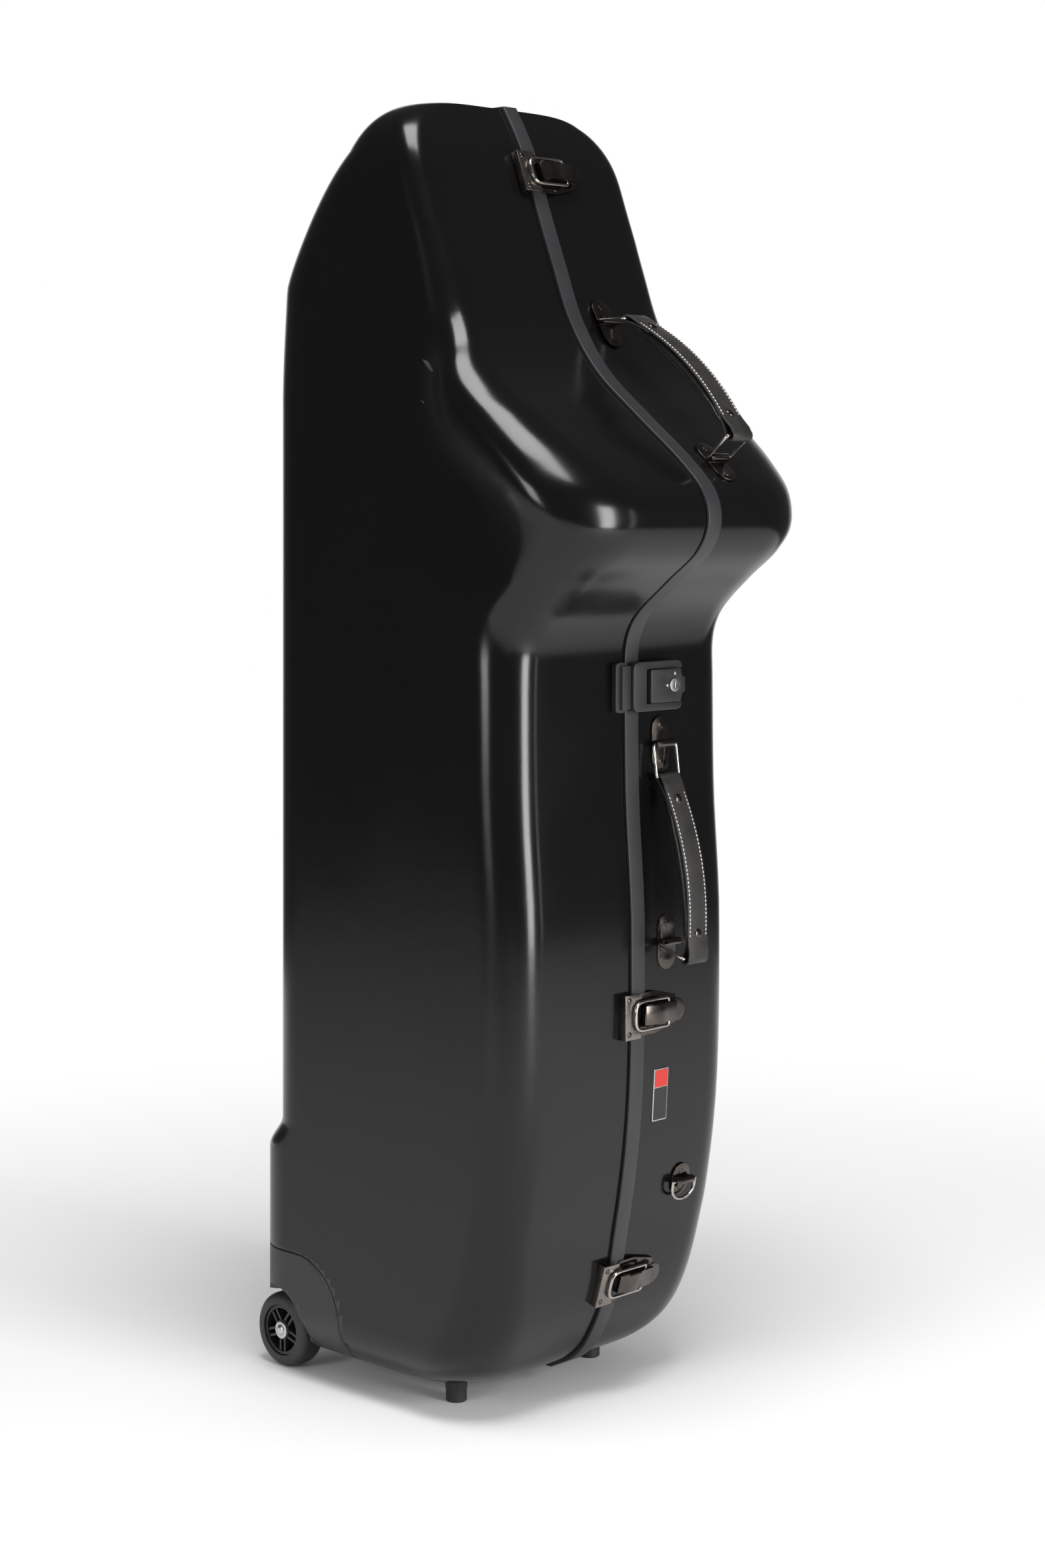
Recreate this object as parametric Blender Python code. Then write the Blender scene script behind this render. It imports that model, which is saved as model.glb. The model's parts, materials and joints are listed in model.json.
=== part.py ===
# Baritone saxophone hard case: two moulded shells hinged at the back, with draw latches,
# a key lock, two leather carrying handles, two wheels and two feet. Metres, Z up.
# X runs through the case's thickness (base at -X, lid at +X), -Y is the front with the
# latches and handles, +Y the back with the hinges and wheels. Z = 0 is the floor.
import math

import bmesh
import bpy
from mathutils import Matrix, Vector

# Overall form of the shells
HALF_THICK = 0.150
BASE_Z = 0.019
TOP_Z = 1.168
Y_FRAME = 0.00075
BACK_Y = 0.196
TOP_FRONT_Y = 0.030
TOP_BACK_Y = 0.056
BACK_ARC_Z = 1.000
BACK_ARC_POWER = 1.3
FRONT_CORNER_R = 0.040
BACK_CORNER_R = 0.050
NOSE_CORNER_R = 0.075
NECK_CORNER_R = 0.024
CROWN_CORNER_R = 0.054
FOOT_CORNER_R = 0.065
NECK_HALF_THICK = 0.145
CROWN_H = 0.108
CROWN_HALF = 0.030
CROWN_POWER = 4.0
BOTTOM_R = 0.050
# Front outline in the seam plane, as (height, Y) of its turning points
FRONT_LINE = [(BASE_Z, -0.030), (0.032, -0.056), (0.065, -0.083), (0.160, -0.110), (0.290, -0.127),
              (0.420, -0.129), (0.550, -0.122), (0.660, -0.121), (0.700, -0.132), (0.735, -0.172),
              (0.762, -0.206), (0.790, -0.218), (0.815, -0.211), (0.840, -0.187), (0.880, -0.137),
              (0.920, -0.089), (0.965, -0.056), (1.020, -0.033), (1.080, -0.010), (1.125, 0.006),
              (1.155, 0.022), (TOP_Z, TOP_FRONT_Y)]
# Wheel pods that push the back out at the bottom corners
POD_OUT = 0.018
POD_TOP_Z = 0.235
POD_FADE = 0.030
POD_X0, POD_X1 = 0.034, 0.072
# Bell rim that stands out on both sides, along the sloping mouth face
RIM_Y, RIM_Z = -0.142, 0.874
RIM_SLOPE = math.radians(38.4)
RIM_END = 0.050
RIM_BAND = 0.052
RIM_OUT = 0.022
CREASE_OUT = 0.013
FLARE_REACH = 0.090
FLARE_SPREAD = 0.35

# Walls and running gaps
WALL = 0.003
LINING = 0.010
LINING_GAP = 0.0009
GAP = 0.0003
BAND_W = 0.018
BAND_OUT = 0.0022
TONGUE_OUT = 0.005
TONGUE_T = 0.002
SEAL_W = 0.003
LINING_STEP = 0.009

# Wheels, housings and feet
WHEEL_R = 0.034
WHEEL_W = 0.026
WHEEL_Y = 0.185
WHEEL_FACE_X = 0.135
HUB_R = 0.023
HUB_CORE_R = 0.009
SPOKES = 5
SPOKE_W = 0.006
AXLE_R = 0.004
BOLT_HEAD_R = 0.0075
WELL_R = 0.0395
HOUSING_X = 0.086
HOUSING_FRONT_Y = 0.089
HOUSING_TOP_Z = 0.115
HOUSING_R = 0.060
FOOT_X = 0.0886
FOOT_R = 0.0095

# Hinges
HINGE_ZS = {"bottom": 0.330, "middle": 0.610, "top": 0.870}
HINGE_H = 0.060
HINGE_LEAF_W = 0.028
HINGE_T = 0.0015
KNUCKLE_R = 0.0035
PIN_R = 0.0015

# Draw latches, measured out from the face they sit on
LATCH_ZS = {"bottom": 0.108, "middle": 0.349, "top": 1.105}
STRIKE_H = 0.040
STRIKE_PROUD = 0.008
STRIKE_T = 0.0015
STRIKE_LEFT_X = -0.0135
STRIKE_HORN_X = 0.0070
STRIKE_BAY_X = -0.0040
STRIKE_SCREW_X = -0.0075
LATCH_W = 0.038
LATCH_T = 0.0012
LATCH_X0, LATCH_X1 = 0.0105, 0.058
EAR_T = 0.0010
LEVER_PIVOT_X = 0.014
LEVER_PIVOT_OUT = 0.0108
LEVER_HALF = 0.0085
LEVER_END = 0.005
LEVER_STEP_X = 0.034
LEVER_TAB_X = 0.054
LEVER_TAB_R = 0.0105
BAIL_PIVOT_X = 0.042
BAIL_END_X = -0.0020
BAIL_R = 0.0016
BAIL_HALF = 0.0125

# Key lock
LOCK_Z = 0.6405
LOCK_H = 0.0445
LOCK_LEFT_X = -0.0165
LOCK_RIGHT_X = 0.066
LOCK_PROUD = 0.0125
PANEL_X0 = 0.022
PANEL_H = 0.030
PANEL_T = 0.0035
PANEL_PIVOT_OUT = 0.001
PANEL_HEEL = 0.0005
KEY_X = 0.053
KEY_R = 0.0062

# Carrying handles
HANDLE_X = 0.049
HANDLES = {"upper": (0.967, 0.840, 45.0), "lower": (0.5875, 0.4095, 5.0)}
BRACKET_L = 0.050
BRACKET_HALF_W = 0.012
BRACKET_T = 0.0015
BARREL_R = 0.0035
BARREL_OUT = 0.0060
LOOP_WIRE_R = 0.0016
LOOP_L = 0.030
LOOP_HALF = 0.0152
EYE_SPAN = 0.162
STRAP_HALF = 0.013
STRAP_T = 0.0035
STRAP_BOW = 0.014
EYE_WALL = 0.0020
OPEN_EYE_PLAY = 0.0022
PAD_T = 0.013
PAD_HALF = 0.011

# Badge and hanging ring
BADGE_X0, BADGE_X1 = 0.0345, 0.0540
BADGE_Z0, BADGE_Z1 = 0.2485, 0.2960
BADGE_T = 0.0015
RING_X = 0.083
RING_Z = 0.188
RING_PLATE_L = 0.030
RING_R = 0.011

CORNER_STEPS = 5
DEEPEST_SHARE = 0.42
MERGE = 0.00001


def spline(points, at):
    """Smooth, non-overshooting curve through a short list of points."""
    xs = [p[0] for p in points]
    ys = [p[1] for p in points]
    steps = [b - a for a, b in zip(xs, xs[1:])]
    rises = [(b - a) / s for a, b, s in zip(ys, ys[1:], steps)]
    slopes = [rises[0]]
    for before, after in zip(rises, rises[1:]):
        same_way = before * after > 0
        middle = (before + after) / 2 if same_way else 0.0
        limit = 3 * min(abs(before), abs(after))
        slopes.append(max(-limit, min(limit, middle)))
    slopes.append(rises[-1])
    i = max(k for k in range(len(steps)) if at >= xs[k] or k == 0)
    t = (at - xs[i]) / steps[i]
    rise_a, rise_b = steps[i] * slopes[i], steps[i] * slopes[i + 1]
    return ((2 * t**3 - 3 * t**2 + 1) * ys[i] + (t**3 - 2 * t**2 + t) * rise_a
            + (3 * t**2 - 2 * t**3) * ys[i + 1] + (t**3 - t**2) * rise_b)


def ease(t):
    t = max(0.0, min(1.0, t))
    return t * t * (3 - 2 * t)


def front_y(z):
    return spline(FRONT_LINE, z)


def back_y(z):
    if z <= BACK_ARC_Z:
        return BACK_Y
    t = (z - BACK_ARC_Z) / (TOP_Z - BACK_ARC_Z)
    return TOP_BACK_Y + (BACK_Y - TOP_BACK_Y) * max(0.0, 1 - t**BACK_ARC_POWER)**(1 / BACK_ARC_POWER)


def bottom_inset(z):
    depth = max(0.0, BOTTOM_R - (z - BASE_Z))
    return BOTTOM_R - math.sqrt(BOTTOM_R**2 - depth**2)


def half_thick(z):
    width = HALF_THICK + (NECK_HALF_THICK - HALF_THICK) * ease((z - 0.90) / 0.15) - bottom_inset(z)
    crown = max(0.0, (z - TOP_Z + CROWN_H) / CROWN_H)
    arc = max(0.0, 1 - crown**CROWN_POWER)**(1 / CROWN_POWER)
    return CROWN_HALF + (width - CROWN_HALF) * arc


def corner_radii(z):
    front = FRONT_CORNER_R + (NOSE_CORNER_R - FRONT_CORNER_R) * math.exp(-((z - 0.79) / 0.07)**2)
    front += (FOOT_CORNER_R - FRONT_CORNER_R) * max(0.0, 1 - z / 0.16)
    up = max(0.0, min(1.0, (z - 0.90) / 0.15))
    front += (NECK_CORNER_R - front) * up
    return front, BACK_CORNER_R + (CROWN_CORNER_R - BACK_CORNER_R) * up


def flare_out(y, z):
    """How far the bell rim and its flare push the side wall out at one spot."""
    along = (y - RIM_Y) * math.cos(RIM_SLOPE) + (z - RIM_Z) * math.sin(RIM_SLOPE)
    behind = (y - RIM_Y) * math.sin(RIM_SLOPE) - (z - RIM_Z) * math.cos(RIM_SLOPE)
    reach = math.hypot(max(along - RIM_END, 0.0), behind) if along > RIM_END else behind
    reach = max(reach, 0.0)
    edge = FLARE_REACH + FLARE_SPREAD * max(0.0, -along)
    if reach >= edge:
        return 0.0
    if reach > RIM_BAND:
        return CREASE_OUT * (1 - (reach - RIM_BAND) / (edge - RIM_BAND))**1.6
    crest = RIM_BAND * 0.45
    fall = max(0.0, (reach - crest) / (RIM_BAND - crest))
    return RIM_OUT - (RIM_OUT - CREASE_OUT) * fall**2


def pod_out(x, z):
    return POD_OUT * ease((POD_TOP_Z - z) / POD_FADE) * ease((x - POD_X0) / (POD_X1 - POD_X0))


def section(z, inset, rim_x):
    """Half outline at one height, from the front of the seam round the side to the back."""
    front, back = front_y(z), back_y(z) - bottom_inset(z)
    width = half_thick(z) - inset
    inset = min(inset, DEEPEST_SHARE * (back - front))
    front, back = front + inset, back - inset
    half_depth = (back - front) / 2
    front_r, back_r = (min(max(r - inset, 0.006), 0.9 * width, 0.97 * half_depth) for r in corner_radii(z))
    turn = [math.pi / 2 * k / CORNER_STEPS for k in range(CORNER_STEPS + 1)]
    points = [(rim_x, front)]
    points += [(width - front_r * (1 - math.sin(a)), front + front_r * (1 - math.cos(a))) for a in turn]
    side_a, side_b = front + front_r, back - back_r
    points += [(width, side_a + (side_b - side_a) * k / 6) for k in range(1, 6)]
    points += [(width - back_r * (1 - math.cos(a)), back - back_r * (1 - math.sin(a))) for a in turn]
    inner = width - back_r
    points += [(inner * share, back) for share in (0.62, 0.30)]
    points.append((rim_x, back))
    return [(max(x * (1 + flare_out(y, z) / width), rim_x) if x > rim_x else rim_x,
             y + (pod_out(x, z) if y > 0 else 0.0) + Y_FRAME) for x, y in points]


def ring_heights():
    """Heights of the sections: close together where the outline turns fast."""
    low = [BASE_Z + BOTTOM_R * k for k in (0.0, 0.12, 0.35, 0.7, 1.1)]
    body = [0.130, POD_TOP_Z - POD_FADE, POD_TOP_Z, 0.330, 0.450, 0.560]
    bell = [0.640, 0.675, 0.700, 0.725, 0.748, 0.770, 0.790, 0.808, 0.826, 0.850, 0.880, 0.910, 0.940]
    neck = [0.975, 1.010, 1.045]
    crown = [TOP_Z - CROWN_H * k for k in (0.85, 0.6, 0.36, 0.16, 0.05, 0.012, 0.0)]
    return low + body + bell + neck + crown


RINGS = ring_heights()


def lift(z, inset):
    """Height of a ring of the surface that lies a wall's depth inside the outer one."""
    share = (z - BASE_Z) / (TOP_Z - BASE_Z)
    return BASE_Z + inset + share * (TOP_Z - BASE_Z - 2 * inset)


def front_on_mesh(z, inset=0.0):
    """Y of the faceted front face at a height, between the rings that make it."""
    heights = [lift(ring, inset) for ring in RINGS]
    i = max(k for k in range(len(RINGS) - 1) if z >= heights[k] or k == 0)
    share = (z - heights[i]) / (heights[i + 1] - heights[i])
    a, b = front_y(RINGS[i]), front_y(RINGS[i + 1])
    return a + (b - a) * share + inset + Y_FRAME


# Building blocks
def clear_scene():
    for item in list(bpy.data.objects):
        bpy.data.objects.remove(item, do_unlink=True)


def finish(name, color, roughness, metallic=0.0):
    material = bpy.data.materials.new(name)
    material.use_nodes = True
    shader = material.node_tree.nodes["Principled BSDF"]
    shader.inputs["Base Color"].default_value = (*color, 1.0)
    shader.inputs["Roughness"].default_value = roughness
    shader.inputs["Metallic"].default_value = metallic
    return material


def add(name, bm, material, pivot=None, smooth=True):
    """Turn a bmesh into a named object; a moving one gets its origin on its joint."""
    bmesh.ops.recalc_face_normals(bm, faces=bm.faces)
    if pivot is not None:
        bmesh.ops.translate(bm, verts=bm.verts, vec=-Vector(pivot))
    mesh = bpy.data.meshes.new(name)
    bm.to_mesh(mesh)
    bm.free()
    mesh.materials.append(material)
    if smooth:
        mesh.shade_smooth()
        mesh.set_sharp_from_angle(angle=math.radians(35))
    item = bpy.data.objects.new(name, mesh)
    item.location = pivot if pivot is not None else (0, 0, 0)
    bpy.context.scene.collection.objects.link(item)
    return item


def merged(base, others, operation):
    """The bmesh of one body after the others are joined to it or cut from it."""
    body = add("work_body", base, bpy.data.materials[0], smooth=False)
    for other in others:
        tool = add("work_tool", other, bpy.data.materials[0], smooth=False)
        modifier = body.modifiers.new("work", "BOOLEAN")
        modifier.operation = operation
        modifier.solver = "EXACT"
        modifier.object = tool
        graph = bpy.context.evaluated_depsgraph_get()
        graph.update()
        step = bmesh.new()
        step.from_mesh(body.evaluated_get(graph).to_mesh())
        bmesh.ops.remove_doubles(step, verts=step.verts, dist=MERGE)
        bmesh.ops.dissolve_degenerate(step, edges=step.edges, dist=MERGE)
        body.modifiers.clear()
        step.to_mesh(body.data)
        step.free()
        bpy.data.objects.remove(tool, do_unlink=True)
    result = bmesh.new()
    result.from_mesh(body.data)
    bpy.data.objects.remove(body, do_unlink=True)
    return result


def joined(base, *others):
    return merged(base, list(others), "UNION")


def cut(base, *others):
    return merged(base, list(others), "DIFFERENCE")


def common(base, other):
    return merged(base, [other], "INTERSECT")


def prism(outline, low, high, frame=Matrix.Identity(4)):
    """Extrude an outline given in a frame's first two axes along its third axis."""
    bm = bmesh.new()
    rings = [[bm.verts.new(frame @ Vector((u, v, w))) for u, v in outline] for w in (low, high)]
    bm.faces.new(reversed(rings[0]))
    bm.faces.new(rings[1])
    for k in range(len(outline)):
        n = (k + 1) % len(outline)
        bm.faces.new((rings[0][k], rings[0][n], rings[1][n], rings[1][k]))
    return bm


def box(low, high, frame=Matrix.Identity(4)):
    outline = [(low[0], low[1]), (high[0], low[1]), (high[0], high[1]), (low[0], high[1])]
    return prism(outline, low[2], high[2], frame)


def circle(center, radius, count, start=0.0):
    return [(center[0] + radius * math.cos(start + math.tau * k / count),
             center[1] + radius * math.sin(start + math.tau * k / count)) for k in range(count)]


def turned(profile, count, frame):
    """Spin an outline of (radius, height) pairs about a frame's third axis."""
    bm = bmesh.new()
    rings = []
    for k in range(count):
        a = math.tau * k / count
        rings.append([bm.verts.new(frame @ Vector((r * math.cos(a), r * math.sin(a), h)))
                      for r, h in profile])
    for k in range(count):
        here, there = rings[k], rings[(k + 1) % count]
        for i in range(len(profile)):
            j = (i + 1) % len(profile)
            bm.faces.new((here[i], there[i], there[j], here[j]))
    bmesh.ops.remove_doubles(bm, verts=bm.verts, dist=0.000001)
    return bm


def rod(start, end, radius, count=12):
    start, end = Vector(start), Vector(end)
    turn = (end - start).to_track_quat("Z", "Y").to_matrix().to_4x4()
    frame = Matrix.Translation(start) @ turn
    return prism(circle((0, 0), radius, count), 0.0, (end - start).length, frame)


def wire(points, radius, closed, count=8):
    """A bent wire through points, with mitred corners and flat ends."""
    bm = bmesh.new()
    points = [Vector(p) for p in points]
    total = len(points)
    rings = []
    plane = (points[1] - points[0]).cross(points[2] - points[1]).normalized()
    for k, point in enumerate(points):
        before = points[k - 1] if closed or k else point * 2 - points[1]
        after = points[(k + 1) % total] if closed or k < total - 1 else point * 2 - points[k - 1]
        into, out = (point - before).normalized(), (after - point).normalized()
        along = (into + out).normalized()
        side = plane.cross(along).normalized() / max(along.dot(into), 0.5)
        rings.append([bm.verts.new(point + radius * (side * math.cos(a) + plane * math.sin(a)))
                      for a in (math.tau * j / count for j in range(count))])
    for k in range(total if closed else total - 1):
        here, there = rings[k], rings[(k + 1) % total]
        for j in range(count):
            n = (j + 1) % count
            bm.faces.new((here[j], here[n], there[n], there[j]))
    if not closed:
        bm.faces.new(rings[0])
        bm.faces.new(reversed(rings[-1]))
    return bm


def bend(corner, before, after, radius, steps=3):
    """Points of a rounded corner between two straight runs."""
    corner = Vector(corner)
    a = corner + (Vector(before) - corner).normalized() * radius
    b = corner + (Vector(after) - corner).normalized() * radius
    share = [k / steps for k in range(steps + 1)]
    return [a * (1 - t)**2 + corner * (2 * t * (1 - t)) + b * t * t for t in share]


def split_quad(bm, a, b, c, d):
    """Two triangles, so that nested skins bend along the same diagonal."""
    bm.faces.new((a, b, c))
    bm.faces.new((a, c, d))


# Shells, linings and the strips round the seam
def half_body(side, rim_x, outer, inner):
    """An open half of the case between two depths under its outer surface."""
    bm = bmesh.new()
    skins = []
    for inset in (outer, inner):
        rows = []
        for z in RINGS:
            outline = section(z, inset, rim_x)
            rows.append([bm.verts.new((side * x, y, lift(z, inset))) for x, y in outline])
        skins.append(rows)
    last = len(skins[0][0]) - 1
    for rows in skins:
        for low, high in zip(rows, rows[1:]):
            for j in range(last):
                split_quad(bm, low[j], low[j + 1], high[j + 1], high[j])
        bm.faces.new(rows[0])
        bm.faces.new(rows[-1])
    loops = []
    for rows in skins:
        loops.append([row[0] for row in rows] + [row[last] for row in reversed(rows)])
    count = len(loops[0])
    for k in range(count):
        n = (k + 1) % count
        bm.faces.new((loops[0][k], loops[0][n], loops[1][n], loops[1][k]))
    return bm


def full_body(inset):
    """The whole case as one block, for trimming what has to follow its outside."""
    bm = bmesh.new()
    rows = []
    for z in RINGS:
        outline = section(z, inset, 0.0)
        loop = outline[:-1] + [(-x, y) for x, y in reversed(outline)][:-1]
        rows.append([bm.verts.new((x, y, lift(z, inset))) for x, y in loop])
    count = len(rows[0])
    for low, high in zip(rows, rows[1:]):
        for j in range(count):
            n = (j + 1) % count
            split_quad(bm, low[j], low[n], high[n], high[j])
    bm.faces.new(rows[0])
    bm.faces.new(rows[-1])
    return bm


def seam_strip(x0, x1, outer, inner):
    """A strip that follows the seam all round, between two depths under the surface."""
    bm = bmesh.new()
    corners = []
    for inset in (outer, inner):
        up = [(front_y(z) + inset + Y_FRAME, lift(z, inset)) for z in RINGS]
        down = [(back_y(z) - bottom_inset(z) - inset + Y_FRAME, lift(z, inset)) for z in reversed(RINGS)]
        for x in (x0, x1):
            corners.append([bm.verts.new((x, y, z)) for y, z in up + down])
    outer_a, outer_b, inner_a, inner_b = corners
    for here, there in ((outer_a, outer_b), (outer_b, inner_b), (inner_b, inner_a), (inner_a, outer_a)):
        count = len(here)
        for k in range(count):
            n = (k + 1) % count
            bm.faces.new((here[k], here[n], there[n], there[k]))
    return bm


def housing_region(side, grow):
    """The corner block that a wheel housing fills, seen from the side."""
    front, top = HOUSING_FRONT_Y - grow + Y_FRAME, HOUSING_TOP_Z + grow
    radius = HOUSING_R
    corner = [(front + radius * (1 - math.cos(a)), top - radius * (1 - math.sin(a)))
              for a in (math.pi / 2 * k / 6 for k in range(7))]
    back = BACK_Y + POD_OUT + BACK_CORNER_R + Y_FRAME
    outline = [(front, -0.01)] + corner + [(back, top), (back, -0.01)]
    frame = Matrix(((0, 0, side, 0), (1, 0, 0, 0), (0, 1, 0, 0), (0, 0, 0, 1)))
    return prism(outline, HOUSING_X - grow, HALF_THICK + BACK_CORNER_R, frame)


def make_shells(paint):
    for name, side in (("base", -1), ("lid", 1)):
        shell = half_body(side, GAP / 2, 0.0, WALL)
        add(f"{name}_shell", cut(shell, housing_region(side, GAP)), paint["shell"])
        lining = half_body(side, LINING_STEP, WALL + LINING_GAP, WALL + LINING)
        add(f"{name}_lining", cut(lining, housing_region(side, 2 * GAP)), paint["plush"])
    add("lid_seam_band", seam_strip(GAP / 2, BAND_W, -GAP - BAND_OUT, -GAP), paint["band"])
    tongue_a, tongue_b = WALL + GAP, WALL + GAP + TONGUE_T
    split = -LINING_STEP + GAP
    add("base_rim", seam_strip(split, TONGUE_OUT, tongue_a, tongue_b), paint["alloy"])
    seal_a = tongue_b + GAP
    add("rim_seal", seam_strip(split, split + SEAL_W, seal_a, seal_a + TONGUE_T), paint["rubber"])


# Wheels, their housings and the feet
def side_frame(side, x, y, z):
    """Third axis points out of the case's side."""
    turn = Matrix(((0, 0, side, x), (1, 0, 0, y), (0, side, 0, z), (0, 0, 0, 1)))
    return turn


def make_wheel(name, side, paint):
    center_y = WHEEL_Y + Y_FRAME
    at = side_frame(side, side * WHEEL_FACE_X, center_y, WHEEL_R)
    well_wall = WHEEL_FACE_X - WHEEL_W - 4 * GAP
    block = common(housing_region(side, 0.0), full_body(0.0))
    well = prism(circle((0, 0), WELL_R, 32), -(WHEEL_FACE_X - well_wall), 0.08, at)
    back = BACK_Y + POD_OUT + 2 * BACK_CORNER_R
    lower = box((side * well_wall, center_y - WELL_R, -0.02), (side * 0.3, back, WHEEL_R))
    bore = prism(circle((0, 0), AXLE_R + GAP, 16), -0.08, 0.0, at)
    body = cut(block, well, lower, bore)
    add(f"{name}_wheel_housing", body, paint["moulding"])
    half = WHEEL_W / 2
    tread = [(HUB_R + GAP, -half * 1.55), (WHEEL_R - 0.004, -WHEEL_W), (WHEEL_R - 0.001, -WHEEL_W + 0.003),
             (WHEEL_R, -half), (WHEEL_R - 0.001, -0.003), (WHEEL_R - 0.004, 0.0), (HUB_R + GAP, -half * 0.2),
             (HUB_R + GAP, -half)]
    pivot = (side * (WHEEL_FACE_X - half), center_y, WHEEL_R)
    add(f"{name}_wheel_tyre", turned(tread, 32, at), paint["tyre"], pivot)
    rim = turned([(HUB_R - 0.004, -WHEEL_W + 0.004), (HUB_R, -WHEEL_W + 0.004), (HUB_R, -0.003),
                  (HUB_R - 0.004, -0.003)], 32, at)
    core = prism(circle((0, 0), HUB_CORE_R, 20), -WHEEL_W, -0.002, at)
    spokes = []
    for k in range(SPOKES):
        turn = at @ Matrix.Rotation(math.tau * k / SPOKES, 4, "Z")
        spokes.append(box((0.004, -SPOKE_W / 2, -WHEEL_W + 0.006), (HUB_R - 0.002, SPOKE_W / 2, -0.005), turn))
    hub = joined(core, rim, *spokes)
    hub = cut(hub, prism(circle((0, 0), AXLE_R + GAP, 16), -0.08, 0.02, at))
    add(f"{name}_wheel_hub", hub, paint["moulding"], pivot)
    shank = prism(circle((0, 0), AXLE_R, 16), -0.044, 0.0005, at)
    head = prism(circle((0, 0), BOLT_HEAD_R, 20), -0.002 + GAP, 0.002, at)
    add(f"{name}_wheel_bolt", joined(shank, head), paint["zinc"])


def make_foot(name, side, paint):
    at = Matrix.Translation((side * FOOT_X, Y_FRAME, 0.0))
    profile = [(0, 0), (FOOT_R - 0.001, 0), (FOOT_R, 0.001), (FOOT_R, 0.010), (FOOT_R + 0.001, BASE_Z - GAP),
               (0, BASE_Z - GAP)]
    add(f"{name}_foot", turned(profile, 20, at), paint["rubber"])


# Hinges along the back
def make_hinge(name, z, paint):
    face = BACK_Y + Y_FRAME
    band_top = BAND_OUT + 2 * GAP
    axis_y = face + band_top + HINGE_T + KNUCKLE_R * 0.7
    low, high = z - HINGE_H / 2, z + HINGE_H / 2
    third = HINGE_H / 3
    axis = Matrix.Translation((0, axis_y, 0))

    def knuckle(a, b):
        return prism(circle((0, 0), KNUCKLE_R, 16), a, b, axis)

    def bore():
        return prism(circle((0, 0), PIN_R + GAP / 2, 12), low - 0.01, high + 0.01, axis)

    root = KNUCKLE_R * 0.5
    base = box((-HINGE_LEAF_W, face + GAP, low), (-2 * KNUCKLE_R, face + GAP + HINGE_T, high))
    arm = box((-2.6 * KNUCKLE_R, face + GAP, low + third + GAP), (-root, axis_y, high - third - GAP))
    mid = knuckle(low + third + GAP, high - third - GAP)
    add(f"base_hinge_leaf_{name}", cut(joined(base, arm, mid), bore()), paint["gunmetal"])
    leaf = box((2 * KNUCKLE_R, face + band_top, low), (HINGE_LEAF_W, face + band_top + HINGE_T, high))
    pieces = []
    for a, b in ((low, low + third), (high - third, high)):
        pieces.append(box((root, face + band_top, a), (2.6 * KNUCKLE_R, axis_y, b)))
        pieces.append(knuckle(a, b))
    add(f"lid_hinge_leaf_{name}", cut(joined(leaf, *pieces), bore()), paint["gunmetal"])
    pin = prism(circle((0, 0), PIN_R, 12), low - 0.001, high + 0.001, axis)
    add(f"hinge_pin_{name}", pin, paint["gunmetal"])


# Hardware that sits on the front face
def seat(z, half_height, x=0.0):
    """Frame on the front face: first axis X, second up the face, third outwards.

    The face bends, so the frame rests on its highest facets within the given reach.
    """
    count = 24
    low, high = z - half_height, z + half_height
    up = Vector((0, front_on_mesh(high) - front_on_mesh(low), high - low)).normalized()
    out = Vector((1, 0, 0)).cross(up)
    samples = [low + (high - low) * k / count for k in range(count + 1)]
    samples += [ring for ring in RINGS if low < ring < high]
    middle = Vector((0, front_on_mesh(z), z))
    rise = max((Vector((0, front_on_mesh(s), s)) - middle).dot(out) for s in samples)
    band = -GAP - BAND_OUT
    over = max((Vector((0, front_on_mesh(s, band), s)) - middle).dot(out) + band for s in samples)
    rise = max(rise, over)
    origin = middle + out * rise + Vector((x, 0, 0))
    return Matrix.Translation(origin) @ Matrix((Vector((1, 0, 0)), up, out)).transposed().to_4x4()


def rounded(points, radius, steps=2):
    """An outline with its corners rounded."""
    result = []
    for k, point in enumerate(points):
        before, after = points[k - 1], points[(k + 1) % len(points)]
        corner = bend((*point, 0), (*before, 0), (*after, 0), radius, steps)
        result += [(p.x, p.y) for p in corner]
    return result


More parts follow.
